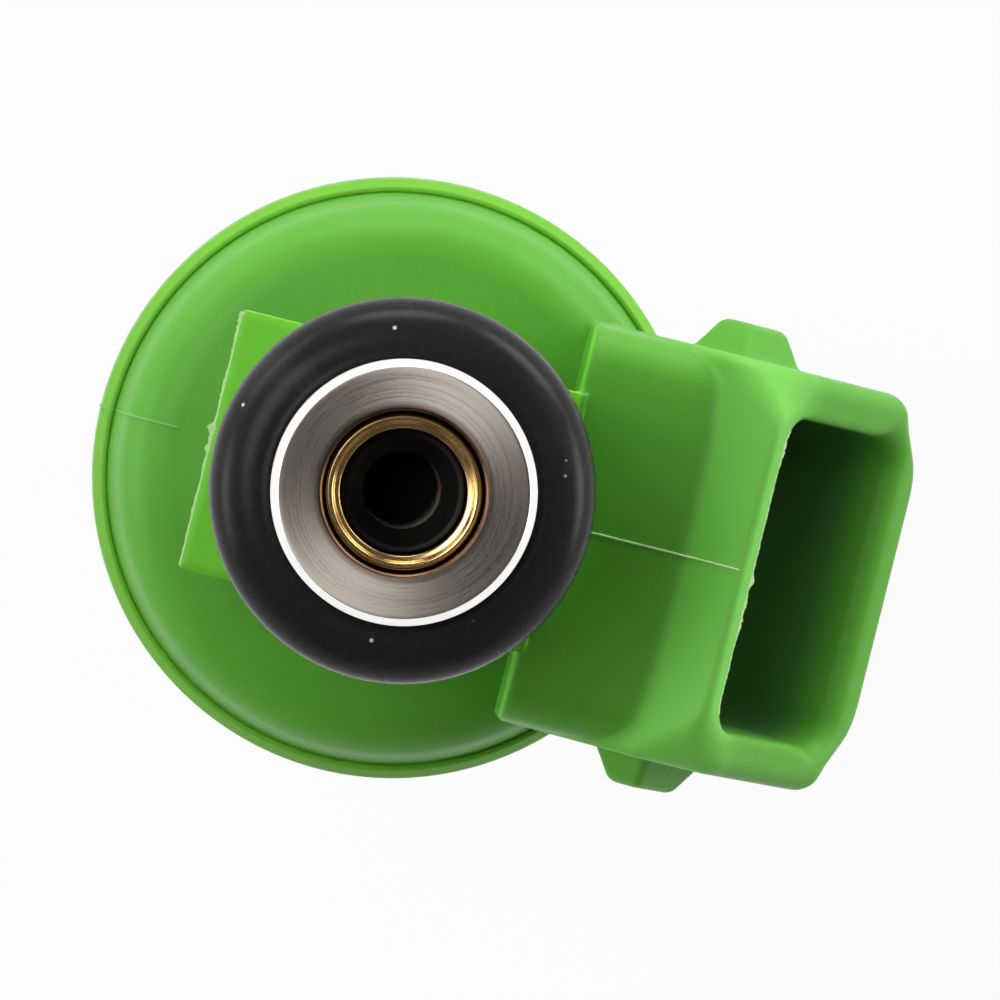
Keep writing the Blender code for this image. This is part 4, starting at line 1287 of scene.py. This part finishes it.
    def build(self, shop: Workshop) -> list[bpy.types.Object]:
        """Join the round body and the connector into one closed mesh, with slots for the blades.

        Args:
            shop: where the piece is dressed and seated.

        Returns:
            The whole green moulding.
        """
        body = self.round_body()
        side = self.lug_crest + self.skin_margin
        low = (self.plate_low[0] - self.skin_margin, -side, self.buried_foot - self.skin_foot_margin)
        high = (self.skin_high[0], side, self.skin_high[1])
        connector = FieldSkin(self.connector_field, low, high, self.skin_step).mesh("connector")
        combined(body, loose("connector", connector), Cut.JOIN)
        for node in Contacts.nodes:
            slot = finished_mesh("blade_slot", solid_copy(node, self.blade_margin))
            combined(body, loose("blade_slot", slot), Cut.REMOVE)
        return [shop.fit(body, GREEN_NYLON, "overmould_body")]


@dataclass(frozen=True)
class Burr:
    """A tongue of flash that stands out of a fin."""

    height: float
    place: float
    width: float

    def at(self, side: np.ndarray) -> np.ndarray:
        """How far the tongue stands out at places along the fin."""
        return self.height * np.exp(-((side - self.place) / self.width) ** 2)


@dataclass
class MouldFlash:
    """Fine ridges at the mould's parting plane, and thin fins of flash that were not trimmed off."""

    body: MouldedBody
    ridge_width: float = 0.15
    ridge_height: float = 0.05
    ridge_section: tuple[Pair, ...] = ((-0.5, -1.0), (-0.3, 0.6), (0.0, 1.0), (0.3, 0.6), (0.5, -1.0))
    ridge_least: float = 0.65
    ridge_swell: float = 0.5
    ridge_wave: int = 9
    ridge_points: int = 8
    end_share: float = 0.2
    full_share: float = 1.0
    faint_share: float = 0.6
    sink: float = 0.05
    top_start: float = 0.2
    top_stop: float = 3.3
    top_points: int = 60
    under_run: Pair = (-0.5, -8.6)
    under_points: int = 40
    shoulder_end: float = 7.6
    shoulder_foot_gap: float = 1.0
    wave_share: float = 0.7
    grit_share: float = 0.45
    bare_share: float = 0.1
    fin_thickness: float = 0.06
    fin_depth: float = 0.2
    mouth_stops: Pair = (0.55, 0.6)
    mouth_wave: int = 11
    mouth_burr: Burr = Burr(0.26, -0.32, 0.2)
    mouth_sink: float = 0.14
    mouth_back: float = 0.12
    mouth_front: float = 0.06
    mouth_roots: Pair = (0.1, 0.08)
    corner_limit: float = 0.98
    plate_stop: float = 0.1
    plate_wave: int = 7
    plate_least: float = 0.02
    plate_share: float = 0.5
    plate_burrs: tuple[Burr, ...] = (Burr(0.16, 0.4, 0.16), Burr(0.12, -0.4, 0.12))
    plate_sink: float = 0.12
    plate_drop: float = 0.09
    point_gap: float = 0.08
    seed: int = 11

    def uneven(self, count: int, wave: int, strip: Strip) -> np.ndarray:
        """Seeded unevenness along a strip.

        Args:
            count: points along the strip.
            wave: points between the larger waves.
            strip: the strip, which no other is like.

        Returns:
            A value between nothing and one for each point.
        """
        source = np.random.default_rng(self.seed + strip.value)
        places = np.arange(count)
        knots = np.arange(0, count + wave, wave)
        waves = np.interp(places, knots, source.random(len(knots)))
        height = self.wave_share * waves + self.grit_share * source.random(count) - self.bare_share
        return np.clip(height, 0.0, 1.0)

    def ridge(self, path: np.ndarray, share: float, strip: Strip) -> np.ndarray:
        """Rings of a low rounded ridge along a path in the parting plane.

        Args:
            path: points on the surface, in millimetres, with the moulding on the right of the way.
            share: size against the full ridge.
            strip: the ridge.

        Returns:
            One ring of points after another along the ridge.
        """
        steps = np.concatenate([[0.0], np.cumsum(np.linalg.norm(np.diff(path, axis=0), axis=1))])
        even = np.linspace(0.0, steps[-1], max(self.ridge_points, int(steps[-1] / self.point_gap)))
        path = np.stack([np.interp(even, steps, path[:, i]) for i in range(3)], axis=1)
        way = np.gradient(path, axis=0)
        up = np.stack([-way[:, 2], np.zeros(len(way)), way[:, 0]], axis=1)
        up /= np.linalg.norm(up, axis=1)[:, None]
        size = share * (self.ridge_least + self.ridge_swell * self.uneven(len(path), self.ridge_wave, strip))
        size[0] = size[-1] = share * self.end_share
        rings = []
        for across, rise in self.ridge_section:
            lift = size * self.ridge_height * rise if rise > 0 else np.full(len(size), -self.sink)
            aside = size * self.ridge_width * across
            rings.append(path + up * lift[:, None] + np.array([0.0, 1.0, 0.0]) * aside[:, None])
        return np.stack(rings, axis=1)

    def top_path(self) -> np.ndarray:
        """Parting line along the connector's top.

        Returns:
            Points on the top, from the clip plate to the mouth.
        """
        body = self.body
        x = np.linspace(body.plate_high[0] + self.top_start, body.mouth_x - self.top_stop, self.top_points)
        crease = body.at_mouth(np.array(body.crease()), np.array(0.0), np.array(body.upper_half))
        rise = np.maximum(x - crease[0], 0.0) * math.tan(body.tilt)
        return settled(body.shell_field, np.stack([x, 0.0 * x, body.block_top + rise], axis=1))

    def under_path(self) -> np.ndarray:
        """Parting line along the connector's underside, from the mouth inward."""
        out = np.linspace(*self.under_run, self.under_points)
        return self.body.at_mouth(out, np.array(0.0), np.array(-self.body.lower_half))

    def shoulder_path(self) -> np.ndarray:
        """Parting line on the side away from the connector.

        Returns:
            Points down the dome, the lip and the skirt.
        """
        outline = np.array(rounded(self.body.shoulder_corners(), False))
        above_foot = outline[:, 1] > outline[0, 1] + self.shoulder_foot_gap
        outline = outline[(outline[:, 0] > self.shoulder_end) & above_foot][::-1]
        return np.stack([-outline[:, 0], 0.0 * outline[:, 0], outline[:, 1]], axis=1)

    def mouth_fin(self) -> np.ndarray:
        """Ragged fin along the upper edge of the connector's mouth.

        Returns:
            One ring of points after another along the fin.
        """
        body = self.body
        start, stop = body.socket_half - self.mouth_stops[0], -body.socket_half + self.mouth_stops[1]
        side = np.arange(start, stop, -self.point_gap)
        depth = self.fin_depth * self.uneven(len(side), self.mouth_wave, Strip.MOUTH_FLASH) ** 2
        depth += self.mouth_burr.at(side)
        edge = body.socket_high + self.mouth_sink
        corner = (np.abs(side) - body.socket_half + body.socket_corner) / body.socket_corner
        corner = np.minimum(np.clip(corner, 0.0, 1.0), self.corner_limit)
        drop = body.socket_corner * (1.0 - np.sqrt(1.0 - corner ** 2))
        half = self.fin_thickness / 2
        rings = [body.at_mouth(np.full(len(side), out), side, up) for out, up in (
            (-self.mouth_back - half, edge + self.mouth_roots[0] - drop),
            (-self.mouth_front - half, edge - drop - depth),
            (-self.mouth_front + half, edge - drop - depth),
            (-self.mouth_front + half, edge + self.mouth_roots[1] - drop),
        )]
        return np.stack(rings, axis=1)

    def plate_fin(self) -> np.ndarray:
        """Ragged fin along the clip plate's far edge.

        Returns:
            One ring of points after another along the fin.
        """
        left, half, top = self.body.plate_low[0], self.body.plate_high[1], self.body.plate_high[2]
        side = np.arange(half - self.plate_stop, -half + self.plate_stop, -self.point_gap)
        ragged = self.uneven(len(side), self.plate_wave, Strip.PLATE_FLASH) ** 2
        depth = self.plate_least + self.plate_share * self.fin_depth * ragged
        depth += sum(burr.at(side) for burr in self.plate_burrs)
        level, thick = top - self.plate_drop, self.fin_thickness
        rings = []
        for reach, height in ((self.plate_sink, -thick), (-depth, -thick / 3), (-depth, thick / 3),
                              (self.plate_sink, thick)):
            rings.append(np.stack([left + reach + 0.0 * side, side, level + height + 0.0 * side], axis=1))
        return np.stack(rings, axis=1)

    def build(self, shop: Workshop) -> list[bpy.types.Object]:
        """Make every ridge and fin.

        Args:
            shop: where the pieces are dressed and seated.

        Returns:
            The ridges and fins.
        """
        top, under, shoulder = Strip.CONNECTOR_TOP_RIDGE, Strip.CONNECTOR_UNDER_RIDGE, Strip.SHOULDER_RIDGE
        # The fins and ridges take paler greens, which are painted highlight.
        strips = (
            (top, self.ridge(self.top_path(), self.full_share, top), PALE_PAINTED_HIGHLIGHT),
            (under, self.ridge(self.under_path(), self.full_share, under), FAINT_PAINTED_HIGHLIGHT),
            (shoulder, self.ridge(self.shoulder_path(), self.faint_share, shoulder), FAINT_PAINTED_HIGHLIGHT),
            (Strip.MOUTH_FLASH, self.mouth_fin(), PALE_PAINTED_HIGHLIGHT),
            (Strip.PLATE_FLASH, self.plate_fin(), PALE_PAINTED_HIGHLIGHT),
        )
        made = []
        for strip, rings, finish in strips:
            name = strip.name.lower()
            made.append(shop.piece(name, strip_mesh(name, rings), finish))
        return made


@dataclass
class InletEnd:
    """Fuel inlet: flanged tube, brass rim, filter basket and upper ring seal."""

    flange_thickness: float = 1.5
    flange_round: float = 0.1
    chamfer_width: float = 0.29
    chamfer_drop: float = 0.38
    edge_round: float = 0.05
    bore_chamfer: float = 0.1
    bore_edge_round: float = 0.08
    stem_radius: float = 3.7
    stem_fillet: float = 0.12
    pole_round: float = 0.15
    filter_bore: float = 3.05
    filter_bore_floor: float = 59.015
    fuel_bore: float = 2.1
    tube_flats: int = 192
    bead_inner: float = 2.66
    bead_round: float = 0.13
    ledge_inner: float = 2.38
    ledge_drop: float = 0.2
    ledge_slope: float = 0.06
    ledge_round: float = 0.1
    lip_depth: float = 0.75
    rim_wall: float = 0.5
    basket_wall: float = 0.5
    basket_floor: float = 0.8
    basket_foot_round: float = 0.2
    basket_collar: float = 4.6
    basket_lip: float = 0.25
    basket_lip_round: float = 0.12
    basket_throat: float = 1.48
    basket_flats: int = 120
    funnel_depth: float = 1.9
    funnel_round: float = 0.4
    throat_foot: float = 69.8
    window_width: float = 1.9
    window_overrun: float = 1.0

    def tube(self, shop: Workshop) -> bpy.types.Object:
        """Flanged steel tube that ends as the magnet's pole.

        Args:
            shop: where the piece is dressed and seated.

        Returns:
            The tube.
        """
        reach = Reach.of("inlet_tube")
        flange_foot = reach.top - self.flange_thickness
        edge, bore = self.edge_round, self.filter_bore
        return shop.turn("inlet_tube", TURNED_STEEL, [
            (bore + self.bore_chamfer, reach.top, self.bore_edge_round),
            (reach.radius - self.chamfer_width, reach.top, edge),
            (reach.radius, reach.top - self.chamfer_drop, edge),
            (reach.radius, flange_foot, self.flange_round),
            (self.stem_radius, flange_foot, self.stem_fillet),
            (self.stem_radius, reach.foot, self.pole_round),
            (self.fuel_bore, reach.foot, self.pole_round),
            (self.fuel_bore, self.filter_bore_floor, edge),
            (bore, self.filter_bore_floor, edge),
            (bore, reach.top - self.bore_chamfer, self.bore_edge_round),
        ], self.tube_flats)

    def rim(self, shop: Workshop) -> bpy.types.Object:
        """Brass sleeve with a round bead at its top and a ledge turned in below the bead.

        Args:
            shop: where the piece is dressed and seated.

        Returns:
            The sleeve.
        """
        reach = Reach.of("filter_rim")
        inner = reach.radius - self.rim_wall
        ledge, under = reach.top - self.ledge_drop, reach.top - self.lip_depth
        edge, lip = self.edge_round, self.ledge_inner
        return shop.turn("filter_rim", BRASS, [
            (reach.radius, reach.foot, edge),
            (reach.radius, reach.top, self.bead_round),
            (self.bead_inner, reach.top, self.bead_round),
            (self.bead_inner - self.ledge_slope, ledge, edge),
            (lip, ledge - self.ledge_slope, self.ledge_round),
            (lip, under, edge),
            (inner, under - (inner - lip), edge),
            (inner, reach.foot, edge),
        ])

    def basket(self, shop: Workshop) -> bpy.types.Object:
        """Black basket with a funnel mouth over the screen's end, and four windows.

        Args:
            shop: where the piece is dressed and seated.

        Returns:
            The basket.
        """
        reach = Reach.of("filter_basket")
        inner = reach.radius - self.basket_wall
        floor = reach.foot + self.basket_floor
        throat = self.basket_throat
        outline = rounded([
            (0.0, reach.foot, 0.0),
            (reach.radius, reach.foot, self.basket_foot_round),
            (reach.radius, reach.top, self.basket_lip_round),
            (reach.radius - self.basket_lip, reach.top, self.basket_lip_round),
            (throat, reach.top - self.funnel_depth, self.funnel_round),
            (throat, self.throat_foot, self.edge_round),
            (inner, self.throat_foot, self.edge_round),
            (inner, floor, self.basket_foot_round),
            (0.0, floor, 0.0),
        ], False)
        mesh = turned_mesh("filter_basket_moulded", outline, False, self.basket_flats)
        basket = loose("filter_basket_moulded", mesh)
        low, high = floor + self.basket_floor, reach.top - self.basket_collar
        half, far = self.window_width / 2, reach.radius + self.window_overrun
        for wide, deep in ((far, half), (half, far)):
            window = box_mesh("window", (-wide, -deep, low), (wide, deep, high))
            combined(basket, loose("window", window), Cut.REMOVE)
        return shop.fit(basket, BLACK_NYLON, "filter_basket")

    def build(self, shop: Workshop) -> list[bpy.types.Object]:
        """Every piece of the inlet."""
        return [self.tube(shop), self.rim(shop), self.basket(shop), shop.seal("upper_o_ring")]


@dataclass
class Contacts:
    """Two contact blades that run from the coil into the connector's socket."""

    nodes: ClassVar[tuple[str, ...]] = ("terminal_left", "terminal_right")
    edge_round: float = 0.12
    edge_segments: int = 3

    def build(self, shop: Workshop) -> list[bpy.types.Object]:
        """Make both blades, with their edges eased as stamping and plating leave them.

        Args:
            shop: where the pieces are dressed and seated.

        Returns:
            The blades.
        """
        made = []
        for node in self.nodes:
            shape = solid_copy(node)
            bmesh.ops.bevel(shape, geom=shape.edges[:], offset=self.edge_round * MM, profile=0.5,
                            segments=self.edge_segments, affect="EDGES", clamp_overlap=True)
            name = f"{node}_stamped"
            made.append(shop.piece(name, finished_mesh(name, shape), TINNED_BRONZE, node))
        return made


@dataclass
class SprayEnd:
    """Steel coil housing, valve body, tip cap, backing ring and lower ring seal."""

    housing_bore: float = 8.1
    housing_floor: float = 28.55
    housing_floor_round: float = 0.3
    housing_underside: float = 26.15
    housing_flats: int = 192
    foot_drop: float = 1.2
    foot_round: float = 1.2
    neck_radius: float = 6.4
    neck_bore: float = 4.7
    neck_chamfer: float = 0.4
    neck_fillet: float = 0.5
    edge_round: float = 0.1
    fine_round: float = 0.05
    collar_radius: float = 4.4
    stem_shoulder: float = 14.465
    shoulder_round: float = 0.2
    groove_radius: float = 3.7
    groove_round: float = 0.15
    seat_bore: float = 3.0
    seat_top: float = 7.45
    needle_way: float = 2.0
    chamber_radius: float = 3.35
    chamber_floor: float = 24.05
    stem_bore: float = 3.8
    cap_radius: float = 4.7
    cap_flange: float = 1.2
    cap_flange_round: float = 0.25
    cap_fillet: float = 0.2
    cap_round: float = 0.6
    spray_opening: float = 2.2
    spray_opening_round: float = 0.25
    spray_recess: float = 2.9
    backing_foot_round: float = 0.15
    backing_top_round: float = 0.3

    def housing(self, shop: Workshop) -> bpy.types.Object:
        """Steel cup round the coil, with a narrow neck.

        Args:
            shop: where the piece is dressed and seated.

        Returns:
            The cup.
        """
        reach = Reach.of("housing_shell")
        edge = self.edge_round
        bend = self.housing_underside + self.foot_drop
        return shop.turn("housing_shell", ZINC_PLATE, [
            (self.housing_bore, reach.top, edge),
            (reach.radius, reach.top, edge),
            (reach.radius, bend, self.foot_round),
            (reach.radius - self.foot_round, bend, self.foot_round),
            (self.neck_radius, self.housing_underside, self.neck_fillet),
            (self.neck_radius, reach.foot, self.neck_chamfer),
            (self.neck_bore, reach.foot, edge),
            (self.neck_bore, self.housing_floor, edge),
            (self.housing_bore, self.housing_floor, self.housing_floor_round),
        ], self.housing_flats)

    def valve_body(self, shop: Workshop) -> bpy.types.Object:
        """Steel tube that guides the armature and holds the seat.

        Args:
            shop: where the piece is dressed and seated.

        Returns:
            The tube.
        """
        reach = Reach.of("valve_body")
        edge, fine = self.edge_round, self.fine_round
        return shop.turn("valve_body", STAINLESS, [
            (self.chamber_radius, reach.top, edge),
            (self.collar_radius, reach.top, edge),
            (self.collar_radius, self.housing_floor, fine),
            (reach.radius, self.housing_floor, fine),
            (reach.radius, self.stem_shoulder, self.shoulder_round),
            (self.groove_radius, self.stem_shoulder, self.groove_round),
            (self.groove_radius, reach.foot, self.groove_round),
            (self.seat_bore, reach.foot, edge),
            (self.seat_bore, self.seat_top, fine),
            (self.needle_way, self.seat_top, edge),
            (self.needle_way, self.chamber_floor, edge),
            (self.chamber_radius, self.chamber_floor, edge),
        ])

    def cap(self, shop: Workshop) -> bpy.types.Object:
        """Plastic cap over the spray end, whose flange keeps the lower seal on.

        Args:
            shop: where the piece is dressed and seated.

        Returns:
            The cap.
        """
        reach = Reach.of("nozzle_cap")
        flange_foot = reach.top - self.cap_flange
        edge, opening = self.edge_round, self.spray_opening
        return shop.turn("nozzle_cap", BLACK_NYLON, [
            (opening, reach.foot, self.spray_opening_round),
            (self.cap_radius, reach.foot, self.cap_round),
            (self.cap_radius, flange_foot, self.cap_fillet),
            (reach.radius, flange_foot, self.cap_flange_round),
            (reach.radius, reach.top, self.cap_flange_round),
            (self.stem_bore, reach.top, edge),
            (self.stem_bore, self.spray_recess, edge),
            (opening, self.spray_recess, edge),
        ])

    def backing(self, shop: Workshop) -> bpy.types.Object:
        """Plastic ring above the lower seal."""
        reach = Reach.of("seal_backing_ring")
        return shop.turn("seal_backing_ring", BLACK_NYLON, [
            (self.stem_bore, reach.foot, self.edge_round),
            (reach.radius, reach.foot, self.backing_foot_round),
            (reach.radius, reach.top, self.backing_top_round),
            (self.stem_bore, reach.top, self.edge_round),
        ])

    def build(self, shop: Workshop) -> list[bpy.types.Object]:
        """Every piece below the moulding."""
        return [self.housing(shop), self.valve_body(shop), self.cap(shop), self.backing(shop),
                shop.seal("lower_o_ring")]


@dataclass
class InnerWorks:
    """Solids that stay as they are and take their finishes."""

    finishes: tuple[tuple[str, Finish], ...] = (
        ("filter_screen", SCREEN_CLOTH), ("adjusting_sleeve", STAINLESS), ("return_spring", SPRING_WIRE),
        ("coil_bobbin", BLACK_NYLON), ("coil_winding", COPPER_WIRE), ("flux_washer", ZINC_PLATE),
        ("magnetic_break_sleeve", STAINLESS), ("lift_stop_shim", GROUND_STEEL), ("valve_seat", GROUND_STEEL),
        ("orifice_plate", STAINLESS), ("plate_retainer", STAINLESS), ("armature", TURNED_STEEL),
        ("valve_needle", STAINLESS), ("valve_ball", GROUND_STEEL),
    )

    def build(self, shop: Workshop) -> list[bpy.types.Object]:
        """Dress each solid in its own finish.

        Args:
            shop: where materials are made.

        Returns:
            The solids.
        """
        made = []
        for name, finish in self.finishes:
            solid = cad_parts[name]
            for place in solid.material_slots:
                place.material = shop.material(finish)
            made.append(solid)
        return made


@dataclass(frozen=True)
class Glow:
    """A soft bright patch of the surroundings."""

    turn: float
    rise: float
    spread: float
    strength: float

    def direction(self) -> Vector:
        """Direction of the patch.

        Returns:
            Unit vector from the injector to the patch's middle.
        """
        turn, rise = math.radians(self.turn), math.radians(self.rise)
        level = math.cos(rise)
        return Vector((level * math.cos(turn), level * math.sin(turn), math.sin(rise)))


@dataclass(frozen=True)
class Softbox:
    """A square soft lamp, in metres and watts."""

    name: str
    place: Place
    size: float
    power: float


@dataclass
class Studio:
    """Pale floor, soft lamps, a light tent and the camera; eye, aim and sensor are in millimetres."""

    eye: Place = (-8.529, 6.683, 433.63)
    aim: Place = (3.972, 0.379, 62.0)
    roll: float = 0.2445
    sensor: float = 36.0
    clip: Pair = (0.01, 20.0)
    floor_reach: float = 3.0
    floor_sides: int = 96
    floor_drop: float = 0.0003
    floor_glow: float = 0.94
    floor_colour: Colour = (0.86, 0.86, 0.86)
    floor_shade: Colour = (0.84, 0.84, 0.84)
    paper_scale: float = 40.0
    ambient: float = 0.07
    overhead: Glow = Glow(164.0, 62.0, 22.0, 5.2)
    left_side: Glow = Glow(194.0, 22.0, 26.0, 0.8)
    low_sides: tuple[float, ...] = (9.0, 9.0, 9.0, 4.2, 5.8, 0.6, 0.6, 0.6)
    low_rise: float = 2.0
    low_spread: float = 24.0
    lamps: tuple[Softbox, ...] = (
        Softbox("left_softbox", (-0.55, 0.04, 0.45), 0.3, 0.05),
        Softbox("right_softbox", (0.46, 0.34, 0.45), 0.3, 0.25),
    )

    def glows(self) -> list[Glow]:
        """List the bright patches of the tent.

        Returns:
            The overhead patch, the left one and the ring of low sides.
        """
        start, step = math.degrees(self.roll), 360.0 / len(self.low_sides)
        ring = [Glow(start + k * step, self.low_rise, self.low_spread, strength)
                for k, strength in enumerate(self.low_sides)]
        return [self.overhead, self.left_side, *ring]

    def camera(self) -> None:
        """Camera at the photograph's place."""
        data = bpy.data.cameras.new("camera")
        data.sensor_width = self.sensor
        data.lens = FOCAL_PIXELS / PICTURE_WIDTH * self.sensor
        data.clip_start, data.clip_end = self.clip
        eye = Vector(self.eye) * MM
        ahead = (Vector(self.aim) * MM - eye).normalized()
        right = ahead.cross(Vector((-math.sin(self.roll), math.cos(self.roll), 0.0))).normalized()
        up = right.cross(ahead)
        thing = loose("camera", data)
        thing.matrix_world = Matrix.Translation(eye) @ Matrix((right, up, -ahead)).transposed().to_4x4()
        bpy.context.scene.camera = thing

    def lamp(self, softbox: Softbox) -> None:
        """Hang a soft lamp and aim it at the injector's upper end.

        Args:
            softbox: the lamp.
        """
        data = bpy.data.lights.new(softbox.name, "AREA")
        data.size = softbox.size
        data.energy = softbox.power
        thing = loose(softbox.name, data)
        thing.location = softbox.place
        aim = Vector(self.aim) * MM - Vector(softbox.place)
        thing.rotation_mode = "QUATERNION"
        thing.rotation_quaternion = aim.to_track_quat("-Z", "Y")

    def floor(self) -> None:
        """Pale floor, near white to the eye, that still takes the shadow."""
        shape = bmesh.new()
        bmesh.ops.create_circle(shape, cap_ends=True, segments=self.floor_sides, radius=self.floor_reach)
        thing = loose("floor", finished_mesh("floor", shape))
        thing.location.z = -self.floor_drop
        made = bpy.data.materials.new("pale_floor")
        made.use_nodes = True
        bench = ShaderBench(made.node_tree)
        made.node_tree.nodes.remove(made.node_tree.nodes["Principled BSDF"])
        paper = bench.rise(bench.noise(bench.place(), self.paper_scale), *NOISE_RANGE)
        colour = bench.blend(paper, self.floor_colour, self.floor_shade)
        matt = bench.add("ShaderNodeBsdfDiffuse", None, Color=colour).outputs[0]
        glow = bench.add("ShaderNodeEmission", None, Color=WHITE, Strength=1.0).outputs[0]
        path = bench.add("ShaderNodeLightPath").outputs
        seen = bench.sum(path["Is Camera Ray"], path["Is Glossy Ray"], path["Is Transmission Ray"])
        share = bench.times(seen, self.floor_glow)
        mixed = bench.add("ShaderNodeMixShader", None, in_0=share, in_1=matt, in_2=glow)
        bench.join(mixed.outputs[0], made.node_tree.nodes["Material Output"], "Surface")
        thing.data.materials.append(made)

    def tent(self) -> None:
        """White to the eye; a light tent with soft bright sides to the injector."""
        world = bpy.data.worlds.new("light_tent")
        bpy.context.scene.world = world
        world.use_nodes = True
        bench = ShaderBench(world.node_tree)
        direction = bench.add("ShaderNodeTexCoord").outputs["Generated"]
        patches = []
        for glow in self.glows():
            near = bench.along(direction, glow.direction())
            edge = math.cos(math.radians(glow.spread))
            patch = bench.add("ShaderNodeMapRange", {"interpolation_type": "SMOOTHSTEP"}, Value=near,
                              From_Min=edge, From_Max=1.0, To_Min=0.0, To_Max=glow.strength)
            patches.append(patch.outputs["Result"])
        light = bench.sum(*patches, self.ambient)
        path = bench.add("ShaderNodeLightPath").outputs
        lit = bench.times(bench.sum(path["Is Diffuse Ray"], path["Is Glossy Ray"]), light)
        strength = bench.sum(path["Is Camera Ray"], path["Is Transmission Ray"], lit)
        ground = world.node_tree.nodes["Background"]
        ground.inputs["Color"].default_value = WHITE
        bench.join(strength, ground, "Strength")

    def build(self) -> None:
        """Set the whole studio up."""
        self.camera()
        self.floor()
        self.tent()
        for softbox in self.lamps:
            self.lamp(softbox)
        bpy.context.scene.view_settings.view_transform = "Standard"


def main() -> None:
    """Build the studio and every sub-assembly, and report each piece."""
    logging.basicConfig(level=logging.INFO, format="%(name)s: %(message)s")
    Studio().build()
    shop = Workshop()
    body = MouldedBody()
    for assembly in (body, MouldFlash(body), InletEnd(), Contacts(), SprayEnd(), InnerWorks()):
        for piece in assembly.build(shop):
            log.info("%s: %s", type(assembly).__name__, piece.name)


if __name__ == "__main__":
    main()
